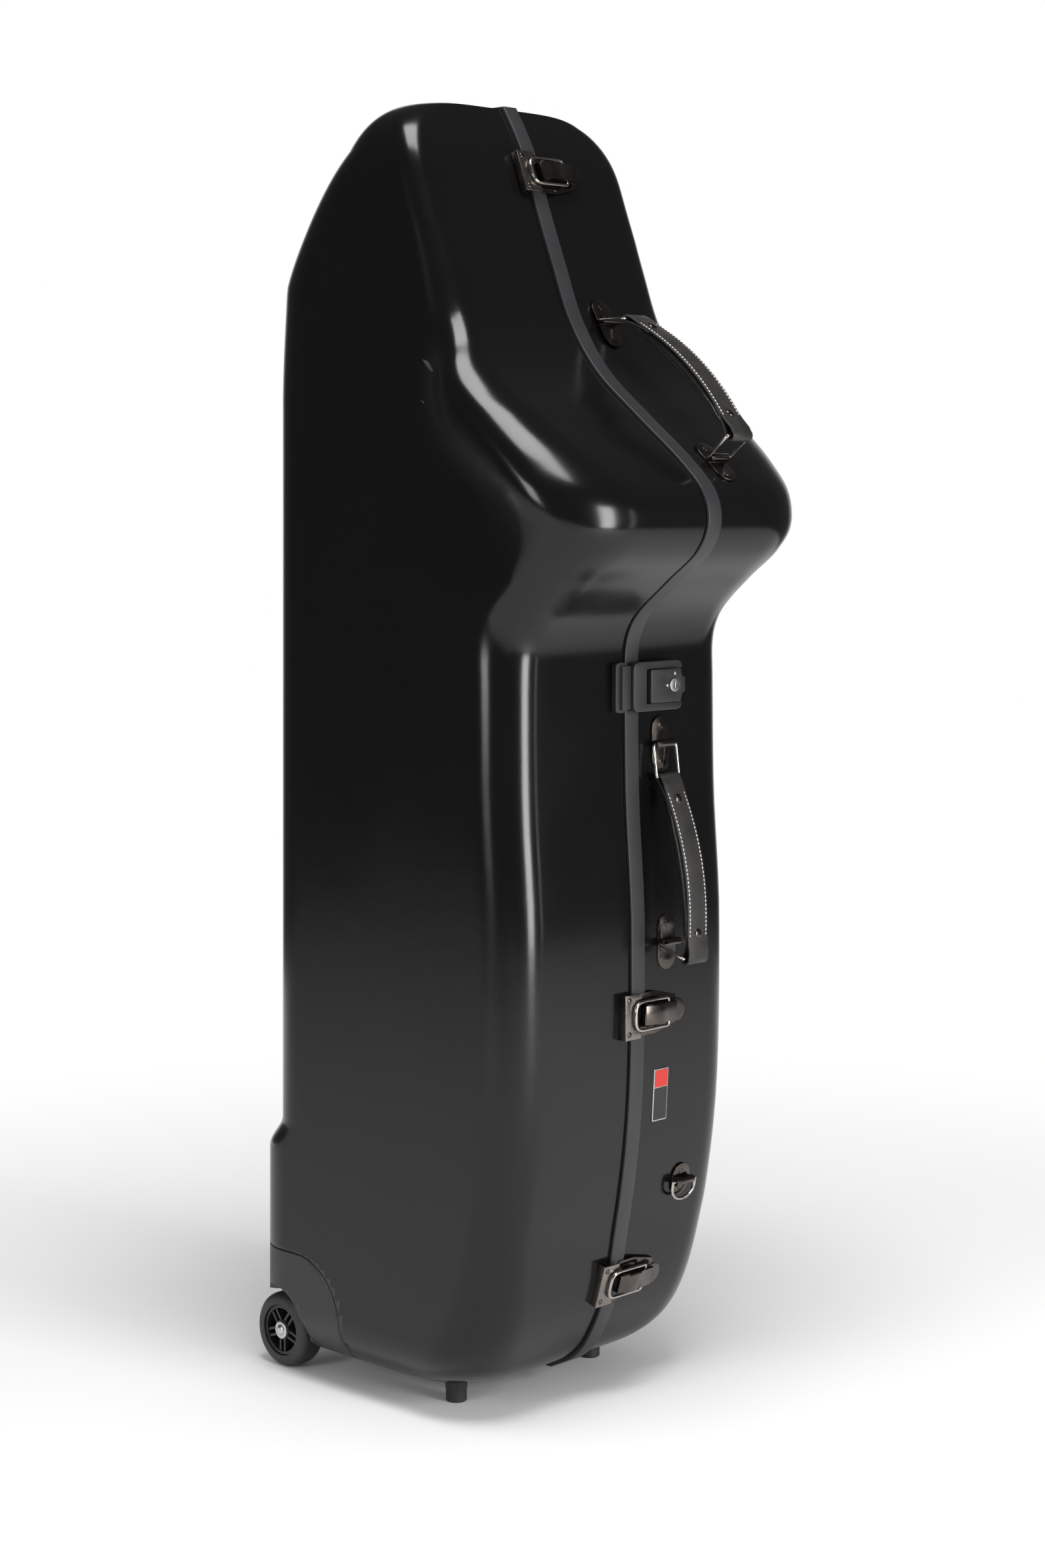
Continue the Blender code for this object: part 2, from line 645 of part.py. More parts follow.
def make_latch(name, z, paint):
    at = seat(z, LATCH_W / 2)
    side_view = Matrix(((1, 0, 0, 0), (0, 0, -1, 0), (0, 1, 0, 0), (0, 0, 0, 1)))
    half, under = STRIKE_H / 2, STRIKE_PROUD - STRIKE_T
    leg_a, leg_b = STRIKE_SCREW_X - STRIKE_T / 2, STRIKE_SCREW_X + STRIKE_T / 2
    channel = [(STRIKE_LEFT_X, GAP), (STRIKE_LEFT_X + STRIKE_T, GAP), (STRIKE_LEFT_X + STRIKE_T, under),
               (leg_a, under), (leg_a, GAP), (leg_b, GAP), (leg_b, under), (STRIKE_HORN_X, under),
               (STRIKE_HORN_X, STRIKE_PROUD), (STRIKE_LEFT_X, STRIKE_PROUD)]
    bay = [(STRIKE_BAY_X + (STRIKE_HORN_X - STRIKE_BAY_X) * (1 - math.cos(a)), (half - 0.006) * math.sin(a))
           for a in (math.pi / 2 * k / 4 for k in range(-4, 5))]
    bay = [(0.03, -half + 0.006)] + bay + [(0.03, half - 0.006)]
    strike = cut(prism(channel, -half, half, at @ side_view), prism(bay, 0.0, 0.02, at))
    add(f"strike_plate_{name}", strike, paint["gunmetal"])

    band_top = BAND_OUT + 2 * GAP
    floor_out = band_top + LATCH_T
    wide, narrow = LATCH_W / 2, LEVER_HALF + 0.004
    outline = [(LATCH_X0, -wide), (0.030, -wide), (LATCH_X1, -narrow), (LATCH_X1, narrow), (0.030, wide),
               (LATCH_X0, wide)]
    plate = prism(outline, band_top, floor_out, at)
    foot = box((BAND_W + GAP, -narrow, GAP), (LATCH_X1, narrow, band_top + LATCH_T / 2), at)
    ears = []
    for s in (-1, 1):
        near, far = s * (LEVER_HALF + GAP), s * (LEVER_HALF + GAP + EAR_T)
        ears.append(box((LATCH_X0, min(near, far), band_top),
                        (LEVER_PIVOT_X + 0.0035, max(near, far), LEVER_PIVOT_OUT + 0.0032), at))
    screw = prism(circle((0.030, -wide + 0.0045), 0.0028, 12), floor_out - 0.0005, floor_out + 0.001, at)
    bore = rod(at @ Vector((LEVER_PIVOT_X, -0.02, LEVER_PIVOT_OUT)),
               at @ Vector((LEVER_PIVOT_X, 0.02, LEVER_PIVOT_OUT)), BAIL_R + GAP)
    add(f"latch_plate_{name}", cut(joined(plate, foot, *ears, screw), bore), paint["gunmetal"])

    low, high = LEVER_PIVOT_OUT - 0.0038, LEVER_PIVOT_OUT + 0.0042
    pivot = at @ Vector((LEVER_PIVOT_X, 0, LEVER_PIVOT_OUT))
    left = LEVER_PIVOT_X - LEVER_END
    body = prism(rounded([(left, low), (LEVER_STEP_X + 0.018, low), (LEVER_STEP_X + 0.018, high - 0.003),
                          (LEVER_STEP_X, high - 0.002), (LEVER_STEP_X - 0.001, high), (left + 0.010, high),
                          (left, LEVER_PIVOT_OUT + 0.001)], 0.0008, 1),
                 -LEVER_HALF, LEVER_HALF, at @ side_view)
    tab = prism(circle((LEVER_TAB_X, 0), LEVER_TAB_R, 18), low + 0.001, low + 0.0025, at)
    axle = rod(at @ Vector((LEVER_PIVOT_X, -LEVER_HALF - GAP - EAR_T, LEVER_PIVOT_OUT)),
               at @ Vector((LEVER_PIVOT_X, LEVER_HALF + GAP + EAR_T, LEVER_PIVOT_OUT)), BAIL_R)
    add(f"latch_lever_{name}", joined(body, tab, axle), paint["gunmetal"], pivot)

    out = STRIKE_PROUD + GAP + BAIL_R
    inner = LEVER_HALF + GAP
    ends = [(BAIL_PIVOT_X, inner), (BAIL_PIVOT_X, BAIL_HALF), (BAIL_END_X, BAIL_HALF)]
    path = [Vector((*ends[0], out))]
    path += bend((*ends[1], out), (*ends[0], out), (*ends[2], out), 0.0025, 2)
    path += bend((*ends[2], out), (*ends[1], out), (BAIL_END_X, 0, out), 0.009, 4)
    path += [Vector((p.x, -p.y, p.z)) for p in reversed(path)]
    bail = wire([at @ p for p in path], BAIL_R, closed=False)
    add(f"latch_bail_{name}", bail, paint["gunmetal"], at @ Vector((BAIL_PIVOT_X, 0, out)))


def make_lock(paint):
    at = seat(LOCK_Z, LOCK_H / 2)
    half = LOCK_H / 2
    band_top = BAND_OUT + 2 * GAP
    left = rounded([(LOCK_LEFT_X, -half), (-GAP, -half), (-GAP, half), (LOCK_LEFT_X, half)], 0.004)
    catch = prism(left, GAP, 0.006, at)
    rib = box((LOCK_LEFT_X + 0.005, -half + 0.003, 0.004), (-GAP, half - 0.003, LOCK_PROUD - 0.003), at)
    add("lock_catch", joined(catch, rib), paint["moulding"])
    over = rounded([(GAP, -half), (LOCK_RIGHT_X, -half), (LOCK_RIGHT_X, half), (GAP, half)], 0.006)
    case = prism(over, band_top, LOCK_PROUD, at)
    foot = box((BAND_W + GAP, -half + 0.004, GAP), (LOCK_RIGHT_X - 0.004, half - 0.004, 0.006), at)
    bay = box((PANEL_X0 - 0.004, -PANEL_H / 2 - GAP, LOCK_PROUD - PANEL_T), (0.1, PANEL_H / 2 + GAP, 0.03), at)
    socket = prism(circle((KEY_X, 0), KEY_R + GAP, 20), 0.006, 0.03, at)
    add("lock_housing", cut(joined(case, foot), bay, socket), paint["moulding"])
    floor_out = LOCK_PROUD - PANEL_T + GAP
    pivot = at @ Vector((PANEL_X0, 0, floor_out + PANEL_PIVOT_OUT))
    outline = [(PANEL_X0 - PANEL_HEEL, -PANEL_H / 2), (LOCK_RIGHT_X - 0.004, -PANEL_H / 2),
               (LOCK_RIGHT_X - 0.002, -0.008), (LOCK_RIGHT_X + 0.002, -0.006),
               (LOCK_RIGHT_X + 0.002, 0.006), (LOCK_RIGHT_X - 0.002, 0.008),
               (LOCK_RIGHT_X - 0.004, PANEL_H / 2), (PANEL_X0 - PANEL_HEEL, PANEL_H / 2)]
    panel = prism(outline, floor_out, LOCK_PROUD + 0.002, at)
    hole = prism(circle((KEY_X, 0), KEY_R + GAP, 20), 0.0, 0.05, at)
    add("lock_lever", cut(panel, hole), paint["moulding"], pivot)
    key = prism(circle((KEY_X, 0), KEY_R, 20), floor_out + 0.001, LOCK_PROUD + 0.0025, at)
    slot = box((KEY_X - 0.0005, -0.0028, LOCK_PROUD), (KEY_X + 0.0005, 0.0028, 0.05), at)
    add("key_cylinder", cut(key, slot), paint["steel"], at @ Vector((KEY_X, 0, LOCK_PROUD)))


# Carrying handles
def make_bracket(name, at, half_l, paint):
    """Oval plate with a rolled barrel across its middle that holds a wire loop."""
    half = BRACKET_HALF_W
    cap = [math.pi * k / 8 for k in range(9)]
    outline = [(half * math.cos(a), half_l - half + half * math.sin(a)) for a in cap]
    outline += [(-half * math.cos(a), -half_l + half - half * math.sin(a)) for a in cap]
    plate = prism(outline, GAP, GAP + BRACKET_T, at)
    side_view = at @ Matrix(((0, 0, 1, 0), (1, 0, 0, 0), (0, 1, 0, 0), (0, 0, 0, 1)))
    barrel = prism(circle((0, BARREL_OUT), BARREL_R, 16), -half, half, side_view)
    screws = [prism(circle((0, s * (half_l - 0.0085)), 0.003, 12), GAP + BRACKET_T - 0.0005,
                    GAP + BRACKET_T + 0.0008, at) for s in (-1, 1)]
    web = box((-half, -BARREL_R * 0.6, GAP), (half, BARREL_R * 0.6, BARREL_OUT), at)
    bore = prism(circle((0, BARREL_OUT), LOOP_WIRE_R + GAP, 12), -0.05, 0.05, side_view)
    add(name, cut(joined(plate, barrel, web, *screws), bore), paint["gunmetal"])
    return at @ Vector((0, 0, BARREL_OUT))


def eye_points(barrel_a, barrel_b, rest_angle):
    """Where the strap's two eyes lie: a four-bar of loop, strap, loop and face."""
    along = (barrel_b - barrel_a).normalized()
    out = along.cross(Vector((1, 0, 0)))
    span = (barrel_b - barrel_a).length
    angle = math.radians(rest_angle)
    first = (LOOP_L * math.cos(angle), LOOP_L * math.sin(angle))
    gap_u, gap_v = first[0] - span, first[1]
    distance = math.hypot(gap_u, gap_v)
    reach = (LOOP_L**2 - EYE_SPAN**2 + distance**2) / (2 * distance)
    height = math.sqrt(LOOP_L**2 - reach**2)
    unit = (gap_u / distance, gap_v / distance)
    second = (span + reach * unit[0] + height * unit[1], reach * unit[1] - height * unit[0])
    return [barrel_a + along * u + out * v for u, v in (first, second)]


def make_loop(name, barrel, eye, paint):
    side = Vector((LOOP_HALF, 0, 0))
    corners = [barrel - side, barrel + side, eye + side, eye - side]
    path = []
    for k, corner in enumerate(corners):
        path += bend(corner, corners[k - 1], corners[(k + 1) % 4], 0.003, 2)
    add(name, wire(path, LOOP_WIRE_R, closed=True), paint["gunmetal"], barrel)


def strap_frame(eye_a, eye_b, out):
    """First axis from eye to eye, second away from the case, third across the strap."""
    along = (eye_b - eye_a).normalized()
    across = along.cross(out).normalized()
    away = across.cross(along)
    return Matrix.Translation(eye_a) @ Matrix((along, away, across)).transposed().to_4x4()


def bow(share, extra=0.0):
    """Point on the strap's curve, raised by extra."""
    return (EYE_SPAN * share, STRAP_BOW * math.sin(math.pi * share)**0.8 + extra)


def make_strap(name, at, pivot, paint):
    steps = 12
    shares = [k / steps for k in range(steps + 1)]
    eye_r = LOOP_WIRE_R + GAP + EYE_WALL
    open_r = LOOP_WIRE_R + OPEN_EYE_PLAY + EYE_WALL
    top = [bow(s, STRAP_T / 2) for s in shares]
    low = [bow(s, -STRAP_T / 2) for s in reversed(shares)]
    body = prism(top + low, -STRAP_HALF, STRAP_HALF, at)
    eyes = [prism(circle(bow(k), r, 16), -STRAP_HALF, STRAP_HALF, at) for k, r in ((0, eye_r), (1, open_r))]
    bores = [prism(circle(bow(k), r - EYE_WALL, 12), -0.05, 0.05, at) for k, r in ((0, eye_r), (1, open_r))]
    rivets = []
    for share in (0.13, 0.87):
        u, v = bow(share, STRAP_T / 2)
        spot = at @ Matrix.Translation((u, v, 0)) @ Matrix.Rotation(-math.pi / 2, 4, "X")
        rivets.append(prism(circle((0, 0), 0.0045, 12), -0.0015, 0.0016, spot))
    add(name, cut(joined(body, *eyes, *rivets), *bores), paint["leather"], pivot)


def make_pad(name, at, pivot, paint):
    """Padded underside of the grip: round sections that swell towards the middle."""
    bm = bmesh.new()
    count, rows = 12, []
    for k in range(11):
        share = 0.075 + 0.85 * k / 10
        swell = math.sin(math.pi * k / 10)**0.5 if 0 < k < 10 else 0.0
        depth = 0.004 + (PAD_T - 0.004) * swell
        half = PAD_HALF * (0.7 + 0.3 * swell)
        u, v = bow(share, -STRAP_T / 2 - GAP)
        rows.append([bm.verts.new(at @ Vector((u, v - 0.0004 - depth / 2 * (1 + math.cos(a)), half * math.sin(a))))
                     for a in (math.tau * (j + 0.5) / count for j in range(count))])
    for here, there in zip(rows, rows[1:]):
        for j in range(count):
            n = (j + 1) % count
            bm.faces.new((here[j], here[n], there[n], there[j]))
    bm.faces.new(rows[0])
    bm.faces.new(reversed(rows[-1]))
    add(name, bm, paint["leather"], pivot)


def make_handle(name, top_z, low_z, rest_angle, paint):
    barrels = []
    for end, z in (("top", top_z), ("bottom", low_z)):
        at = seat(z, BRACKET_L / 2 * 0.72, HANDLE_X)
        barrels.append(make_bracket(f"{name}_bracket_{end}", at, BRACKET_L / 2, paint))
    eyes = eye_points(*barrels, rest_angle)
    for end, barrel, eye in zip(("top", "bottom"), barrels, eyes):
        make_loop(f"{name}_loop_{end}", barrel, eye, paint)
    out = (barrels[1] - barrels[0]).normalized().cross(Vector((1, 0, 0)))
    at = strap_frame(*eyes, out)
    make_strap(f"{name}_handle_strap", at, eyes[0], paint)
    make_pad(f"{name}_handle_pad", at, eyes[0], paint)


# Badge plate and hanging ring
def make_trim(paint):
    middle, half = (BADGE_Z0 + BADGE_Z1) / 2, (BADGE_Z1 - BADGE_Z0) / 2
    at = seat(middle, half)
    outline = rounded([(BADGE_X0, -half), (BADGE_X1, -half), (BADGE_X1, half), (BADGE_X0, half)], 0.001)
    add("badge_plate", prism(outline, GAP, GAP + BADGE_T, at), paint["steel"])
    at = seat(RING_Z, RING_PLATE_L / 2, RING_X)
    barrel = make_bracket("ring_bracket", at, RING_PLATE_L / 2, paint)
    down = (at @ Vector((0, -1, 0))) - (at @ Vector((0, 0, 0)))
    across = Vector((1, 0, 0))
    half = LOOP_HALF
    ends = [barrel - across * half, barrel + across * half]
    arc = [barrel + down * (0.006 + RING_R * math.sin(a)) + across * (half * math.cos(a))
           for a in (math.pi * k / 8 for k in range(9))]
    add("hanging_ring", wire(ends + arc, LOOP_WIRE_R, closed=True), paint["gunmetal"], barrel)


def build():
    clear_scene()
    paint = {
        "shell": finish("shell_gloss", (0.012, 0.012, 0.013), 0.30),
        "band": finish("seam_band", (0.022, 0.022, 0.025), 0.42),
        "alloy": finish("rim_alloy", (0.45, 0.45, 0.46), 0.35, 1.0),
        "gunmetal": finish("black_nickel", (0.16, 0.14, 0.13), 0.22, 1.0),
        "steel": finish("bright_steel", (0.55, 0.55, 0.54), 0.25, 1.0),
        "zinc": finish("zinc_plate", (0.70, 0.70, 0.66), 0.30, 1.0),
        "moulding": finish("black_moulding", (0.016, 0.016, 0.017), 0.40),
        "tyre": finish("tyre_rubber", (0.014, 0.014, 0.015), 0.55),
        "rubber": finish("rubber", (0.018, 0.018, 0.018), 0.70),
        "leather": finish("black_leather", (0.016, 0.015, 0.015), 0.45),
        "plush": finish("plush_lining", (0.030, 0.030, 0.034), 0.95),
    }
    make_shells(paint)
    for name, side in (("base", -1), ("lid", 1)):
        make_wheel(name, side, paint)
        make_foot(name, side, paint)
    for name, z in HINGE_ZS.items():
        make_hinge(name, z, paint)
    for name, z in LATCH_ZS.items():
        make_latch(name, z, paint)
    make_lock(paint)
    for name, (top_z, low_z, rest_angle) in HANDLES.items():
        make_handle(name, top_z, low_z, rest_angle, paint)
    make_trim(paint)


build()
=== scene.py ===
import json
import math

import bmesh
import bpy
from mathutils import Matrix, Vector

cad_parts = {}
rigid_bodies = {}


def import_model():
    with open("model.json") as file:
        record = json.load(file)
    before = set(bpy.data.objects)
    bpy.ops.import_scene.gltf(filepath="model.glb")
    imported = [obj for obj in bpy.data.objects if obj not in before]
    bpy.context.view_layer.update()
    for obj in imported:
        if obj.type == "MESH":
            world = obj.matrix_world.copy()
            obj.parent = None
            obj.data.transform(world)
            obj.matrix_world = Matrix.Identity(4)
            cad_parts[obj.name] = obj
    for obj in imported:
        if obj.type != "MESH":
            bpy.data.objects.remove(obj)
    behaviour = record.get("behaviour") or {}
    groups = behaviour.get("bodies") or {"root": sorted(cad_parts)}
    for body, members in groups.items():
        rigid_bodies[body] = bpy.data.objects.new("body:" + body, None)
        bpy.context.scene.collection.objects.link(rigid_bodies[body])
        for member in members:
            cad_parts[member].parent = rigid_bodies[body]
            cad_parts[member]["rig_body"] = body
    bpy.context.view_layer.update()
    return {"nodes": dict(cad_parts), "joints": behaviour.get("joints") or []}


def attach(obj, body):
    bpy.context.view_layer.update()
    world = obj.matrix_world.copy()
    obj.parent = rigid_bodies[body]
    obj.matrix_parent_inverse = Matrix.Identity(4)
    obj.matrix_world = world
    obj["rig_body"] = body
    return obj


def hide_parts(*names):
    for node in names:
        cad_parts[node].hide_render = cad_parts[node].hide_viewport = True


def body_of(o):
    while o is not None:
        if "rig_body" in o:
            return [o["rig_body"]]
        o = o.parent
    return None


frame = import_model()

nodes = frame["nodes"]

# Moulded shells.
# Base and lid are two halves of glass-fibre laminate in gloss black gelcoat, laid up in
# moulds, so their skin keeps a faint ripple. Wall 3 mm, bell rim raised on both sides.
HALF_THICK, NECK_HALF_THICK = 0.150, 0.145
BASE_Z, TOP_Z = 0.019, 1.168
Y_FRAME = 0.00075
BACK_Y, TOP_BACK_Y, BACK_ARC_Z, BACK_ARC_POWER = 0.196, 0.056, 1.000, 1.3
CROWN_H, CROWN_HALF, CROWN_POWER = 0.108, 0.030, 4.0
BOTTOM_R = 0.050
NECK_Z, NECK_FADE, NECK_CORNER_R = 0.90, 0.15, 0.024
FRONT_CORNER_R, NOSE_CORNER_MORE, FOOT_CORNER_MORE = 0.040, 0.035, 0.025
NOSE_Z, NOSE_SPREAD, FOOT_CORNER_H = 0.79, 0.07, 0.16
BACK_CORNER_R, CROWN_CORNER_MORE = 0.050, 0.004
LEAST_CORNER_R, WIDTH_SHARE, DEPTH_SHARE = 0.006, 0.9, 0.97
CORNER_STEPS, SIDE_STEPS, FRONT_STEPS, BACK_STEPS, CROWN_STEPS = 14, 24, 6, 8, 40
WALL = 0.003
JOINT = 0.0003
FRONT_LINE = [(BASE_Z, -0.030), (0.032, -0.056), (0.065, -0.083), (0.160, -0.110), (0.290, -0.127),
              (0.420, -0.129), (0.550, -0.122), (0.660, -0.121), (0.700, -0.132), (0.735, -0.172),
              (0.762, -0.206), (0.790, -0.218), (0.815, -0.211), (0.840, -0.187), (0.880, -0.137),
              (0.920, -0.089), (0.965, -0.056), (1.020, -0.033), (1.080, -0.010), (1.125, 0.006),
              (1.155, 0.022), (TOP_Z, 0.030)]
RIM_Y, RIM_Z, RIM_SLOPE = -0.142, 0.874, math.radians(38.4)
RIM_END, RIM_BAND, RIM_OUT = 0.050, 0.052, 0.022
CREASE_OUT, CREASE_POWER, CREST_SHARE, FLARE_REACH, FLARE_SPREAD = 0.013, 1.6, 0.45, 0.090, 0.35
POD_OUT, POD_TOP_Z, POD_FADE, POD_X0, POD_X1 = 0.018, 0.235, 0.030, 0.034, 0.072


def surface(name, color, rough, metallic=0.0, bumps=(), mottle=None, smears=None, gloss=0.5):
    """A finish with bumps (kind, scale, strength, depth), colour mottling and uneven polish."""
    material = bpy.data.materials.new(name)
    material.use_nodes = True
    tree = material.node_tree
    shader = tree.nodes["Principled BSDF"]
    shader.inputs["Base Color"].default_value = (*color, 1.0)
    shader.inputs["Roughness"].default_value = rough
    shader.inputs["Metallic"].default_value = metallic
    shader.inputs["Specular IOR Level"].default_value = gloss
    place = tree.nodes.new("ShaderNodeTexCoord").outputs["Object"]

    def noise(scale, detail=3.0):
        node = tree.nodes.new("ShaderNodeTexNoise")
        node.inputs["Scale"].default_value = scale
        node.inputs["Detail"].default_value = detail
        tree.links.new(place, node.inputs["Vector"])
        return node.outputs["Fac"]

    def spread(source, low, high):
        node = tree.nodes.new("ShaderNodeMapRange")
        node.inputs["From Min"].default_value = 0.3
        node.inputs["From Max"].default_value = 0.7
        node.inputs["To Min"].default_value = low
        node.inputs["To Max"].default_value = high
        tree.links.new(source, node.inputs["Value"])
        return node.outputs["Result"]

    if mottle:
        scale, other = mottle
        mix = tree.nodes.new("ShaderNodeMix")
        mix.data_type = "RGBA"
        mix.inputs["A"].default_value = (*color, 1.0)
        mix.inputs["B"].default_value = (*other, 1.0)
        tree.links.new(spread(noise(scale), 0.0, 1.0), mix.inputs["Factor"])
        tree.links.new(mix.outputs["Result"], shader.inputs["Base Color"])
    if smears:
        scale, more = smears
        tree.links.new(spread(noise(scale, 5.0), rough, rough + more), shader.inputs["Roughness"])
    normal = None
    for kind, scale, strength, depth in bumps:
        if kind == "cells":
            node = tree.nodes.new("ShaderNodeTexVoronoi")
            node.inputs["Scale"].default_value = scale
            tree.links.new(place, node.inputs["Vector"])
            height = node.outputs["Distance"]
        else:
            height = noise(scale)
        bump = tree.nodes.new("ShaderNodeBump")
        bump.inputs["Strength"].default_value = strength
        bump.inputs["Distance"].default_value = depth
        tree.links.new(height, bump.inputs["Height"])
        if normal:
            tree.links.new(normal, bump.inputs["Normal"])
        normal = bump.outputs["Normal"]
    if normal:
        tree.links.new(normal, shader.inputs["Normal"])
    return material


def place(name, bm, material, angle=40.0, turn=True):
    """A finished mesh object at the origin, smooth except at edges sharper than angle."""
    if turn:
        bmesh.ops.recalc_face_normals(bm, faces=bm.faces[:])
    mesh = bpy.data.meshes.new(name)
    bm.to_mesh(mesh)
    bm.free()
    mesh.materials.append(material)
    mesh.shade_smooth()
    mesh.set_sharp_from_angle(angle=math.radians(angle))
    piece = bpy.data.objects.new(name, mesh)
    bpy.context.scene.collection.objects.link(piece)
    return piece


def fitted(piece, body, slot, *stands_for):
    """Hangs a piece on its body and hides the CAD nodes that it stands for; slot is not used."""
    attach(piece, body)
    if stands_for:
        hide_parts(*stands_for)
    return piece


def repainted(material, *names):
    """The finish of CAD nodes that are shown as they are."""
    for name in names:
        nodes[name].data.materials.clear()
        nodes[name].data.materials.append(material)


def settled(piece):
    """Turns what the modifiers show into the piece's own mesh."""
    bpy.context.view_layer.update()
    seen = piece.evaluated_get(bpy.context.evaluated_depsgraph_get())
    mesh = bpy.data.meshes.new_from_object(seen)
    piece.modifiers.clear()
    piece.data = mesh
    return piece


def trimmed(piece, *steps):
    """Cuts or keeps what the tools cover, one after another."""
    for operation, tool in steps:
        modifier = piece.modifiers.new("trim", "BOOLEAN")
        modifier.operation, modifier.object, modifier.solver = operation, tool, "EXACT"
        settled(piece)
        bpy.data.objects.remove(tool, do_unlink=True)
    return piece


def spline(points, at):
    """Smooth curve through the outline's turning points, without overshoot."""
    xs, ys = [p[0] for p in points], [p[1] for p in points]
    steps = [b - a for a, b in zip(xs, xs[1:])]
    rises = [(b - a) / s for a, b, s in zip(ys, ys[1:], steps)]
    slopes = [rises[0]]
    for before, after in zip(rises, rises[1:]):
        middle = (before + after) / 2 if before * after > 0 else 0.0
        limit = 3 * min(abs(before), abs(after))
        slopes.append(max(-limit, min(limit, middle)))
    slopes.append(rises[-1])
    i = max(k for k in range(len(steps)) if at >= xs[k] or k == 0)
    t = (at - xs[i]) / steps[i]
    a, b = steps[i] * slopes[i], steps[i] * slopes[i + 1]
    return ((2 * t**3 - 3 * t**2 + 1) * ys[i] + (t**3 - 2 * t**2 + t) * a
            + (3 * t**2 - 2 * t**3) * ys[i + 1] + (t**3 - t**2) * b)


def ease(t):
    t = max(0.0, min(1.0, t))
    return t * t * (3 - 2 * t)


def front_y(z):
    return spline(FRONT_LINE, z)


def bottom_inset(z):
    depth = max(0.0, BOTTOM_R - (z - BASE_Z))
    return BOTTOM_R - math.sqrt(max(0.0, BOTTOM_R**2 - depth**2))


def back_y(z):
    t = max(0.0, (z - BACK_ARC_Z) / (TOP_Z - BACK_ARC_Z))
    arc = max(0.0, 1 - t**BACK_ARC_POWER)**(1 / BACK_ARC_POWER)
    return TOP_BACK_Y + (BACK_Y - TOP_BACK_Y) * arc - bottom_inset(z)


def half_thick(z):
    width = HALF_THICK + (NECK_HALF_THICK - HALF_THICK) * ease((z - NECK_Z) / NECK_FADE) - bottom_inset(z)
    crown = max(0.0, (z - TOP_Z + CROWN_H) / CROWN_H)
    arc = max(0.0, 1 - crown**CROWN_POWER)**(1 / CROWN_POWER)
    return CROWN_HALF + (width - CROWN_HALF) * arc


def corner_radii(z):
    front = FRONT_CORNER_R + NOSE_CORNER_MORE * math.exp(-((z - NOSE_Z) / NOSE_SPREAD)**2)
    front += FOOT_CORNER_MORE * max(0.0, 1 - z / FOOT_CORNER_H)
    up = max(0.0, min(1.0, (z - NECK_Z) / NECK_FADE))
    return front + (NECK_CORNER_R - front) * up, BACK_CORNER_R + CROWN_CORNER_MORE * up


def flare_out(y, z):
    """How far the bell rim and its flare push the side wall out at one spot."""
    along = (y - RIM_Y) * math.cos(RIM_SLOPE) + (z - RIM_Z) * math.sin(RIM_SLOPE)
    behind = (y - RIM_Y) * math.sin(RIM_SLOPE) - (z - RIM_Z) * math.cos(RIM_SLOPE)
    reach = math.hypot(max(along - RIM_END, 0.0), behind) if along > RIM_END else behind
    reach = max(reach, 0.0)
    edge = FLARE_REACH + FLARE_SPREAD * max(0.0, -along)
    if reach >= edge:
        return 0.0
    if reach > RIM_BAND:
        return CREASE_OUT * (1 - (reach - RIM_BAND) / (edge - RIM_BAND))**CREASE_POWER
    crest = RIM_BAND * CREST_SHARE
    fall = max(0.0, (reach - crest) / (RIM_BAND - crest))
    return RIM_OUT - (RIM_OUT - CREASE_OUT) * fall**2


def section(z, inset, rim_x):
    """Half outline at one height, from the front of the seam round to the back."""
    front, back, width = front_y(z) + inset, back_y(z) - inset, half_thick(z) - inset
    half_depth = (back - front) / 2
    front_r, back_r = (min(max(r - inset, LEAST_CORNER_R), WIDTH_SHARE * width, DEPTH_SHARE * half_depth)
                       for r in corner_radii(z))
    turn = [math.pi / 2 * k / CORNER_STEPS for k in range(CORNER_STEPS + 1)]
    points = [(rim_x, front)]
    points += [(rim_x + (width - front_r - rim_x) * k / FRONT_STEPS, front) for k in range(1, FRONT_STEPS)]
    points += [(width - front_r * (1 - math.sin(a)), front + front_r * (1 - math.cos(a))) for a in turn]
    side_a, side_b = front + front_r, back - back_r
    points += [(width, side_a + (side_b - side_a) * k / SIDE_STEPS) for k in range(1, SIDE_STEPS)]
    points += [(width - back_r * (1 - math.cos(a)), back - back_r * (1 - math.sin(a))) for a in turn]
    flat = width - back_r - rim_x
    points += [(rim_x + flat * k / BACK_STEPS, back) for k in range(BACK_STEPS - 1, 0, -1)]
    points.append((rim_x, back))
    shaped = []
    for x, y in points:
        pod = POD_OUT * ease((POD_TOP_Z - z) / POD_FADE) * ease((x - POD_X0) / (POD_X1 - POD_X0))
        wide = max(x * (1 + flare_out(y, z) / width), rim_x) if x > rim_x else rim_x
        shaped.append((wide, y + (pod if y > 0 else 0.0) + Y_FRAME))
    return shaped


def heights():
    """Close together at the rounded bottom, the wheel housings, the bell and the crown."""
    round_end, crown_z = 0.069, 1.060
    stops = [(BASE_Z, 0), (round_end, 30), (0.120, 24), (0.205, 10), (0.235, 8), (0.640, 18), (0.960, 80),
             (crown_z, 14)]
    result = [BASE_Z]
    for (a, _), (b, count) in zip(stops, stops[1:]):
        for k in range(1, count + 1):
            t = k / count
            result.append(a + (b - a) * (t**1.7 if b == round_end else t))
    rise = TOP_Z - crown_z
    return result + [crown_z + rise * (1 - (1 - k / CROWN_STEPS)**2.2) for k in range(1, CROWN_STEPS + 1)]


RINGS = heights()


def lift(z, inset):
    return BASE_Z + inset + (z - BASE_Z) / (TOP_Z - BASE_Z) * (TOP_Z - BASE_Z - 2 * inset)


def loft(rows, bm):
    for low, high in zip(rows, rows[1:]):
        for j in range(len(low) - 1):
            bm.faces.new((low[j], low[j + 1], high[j + 1], high[j]))


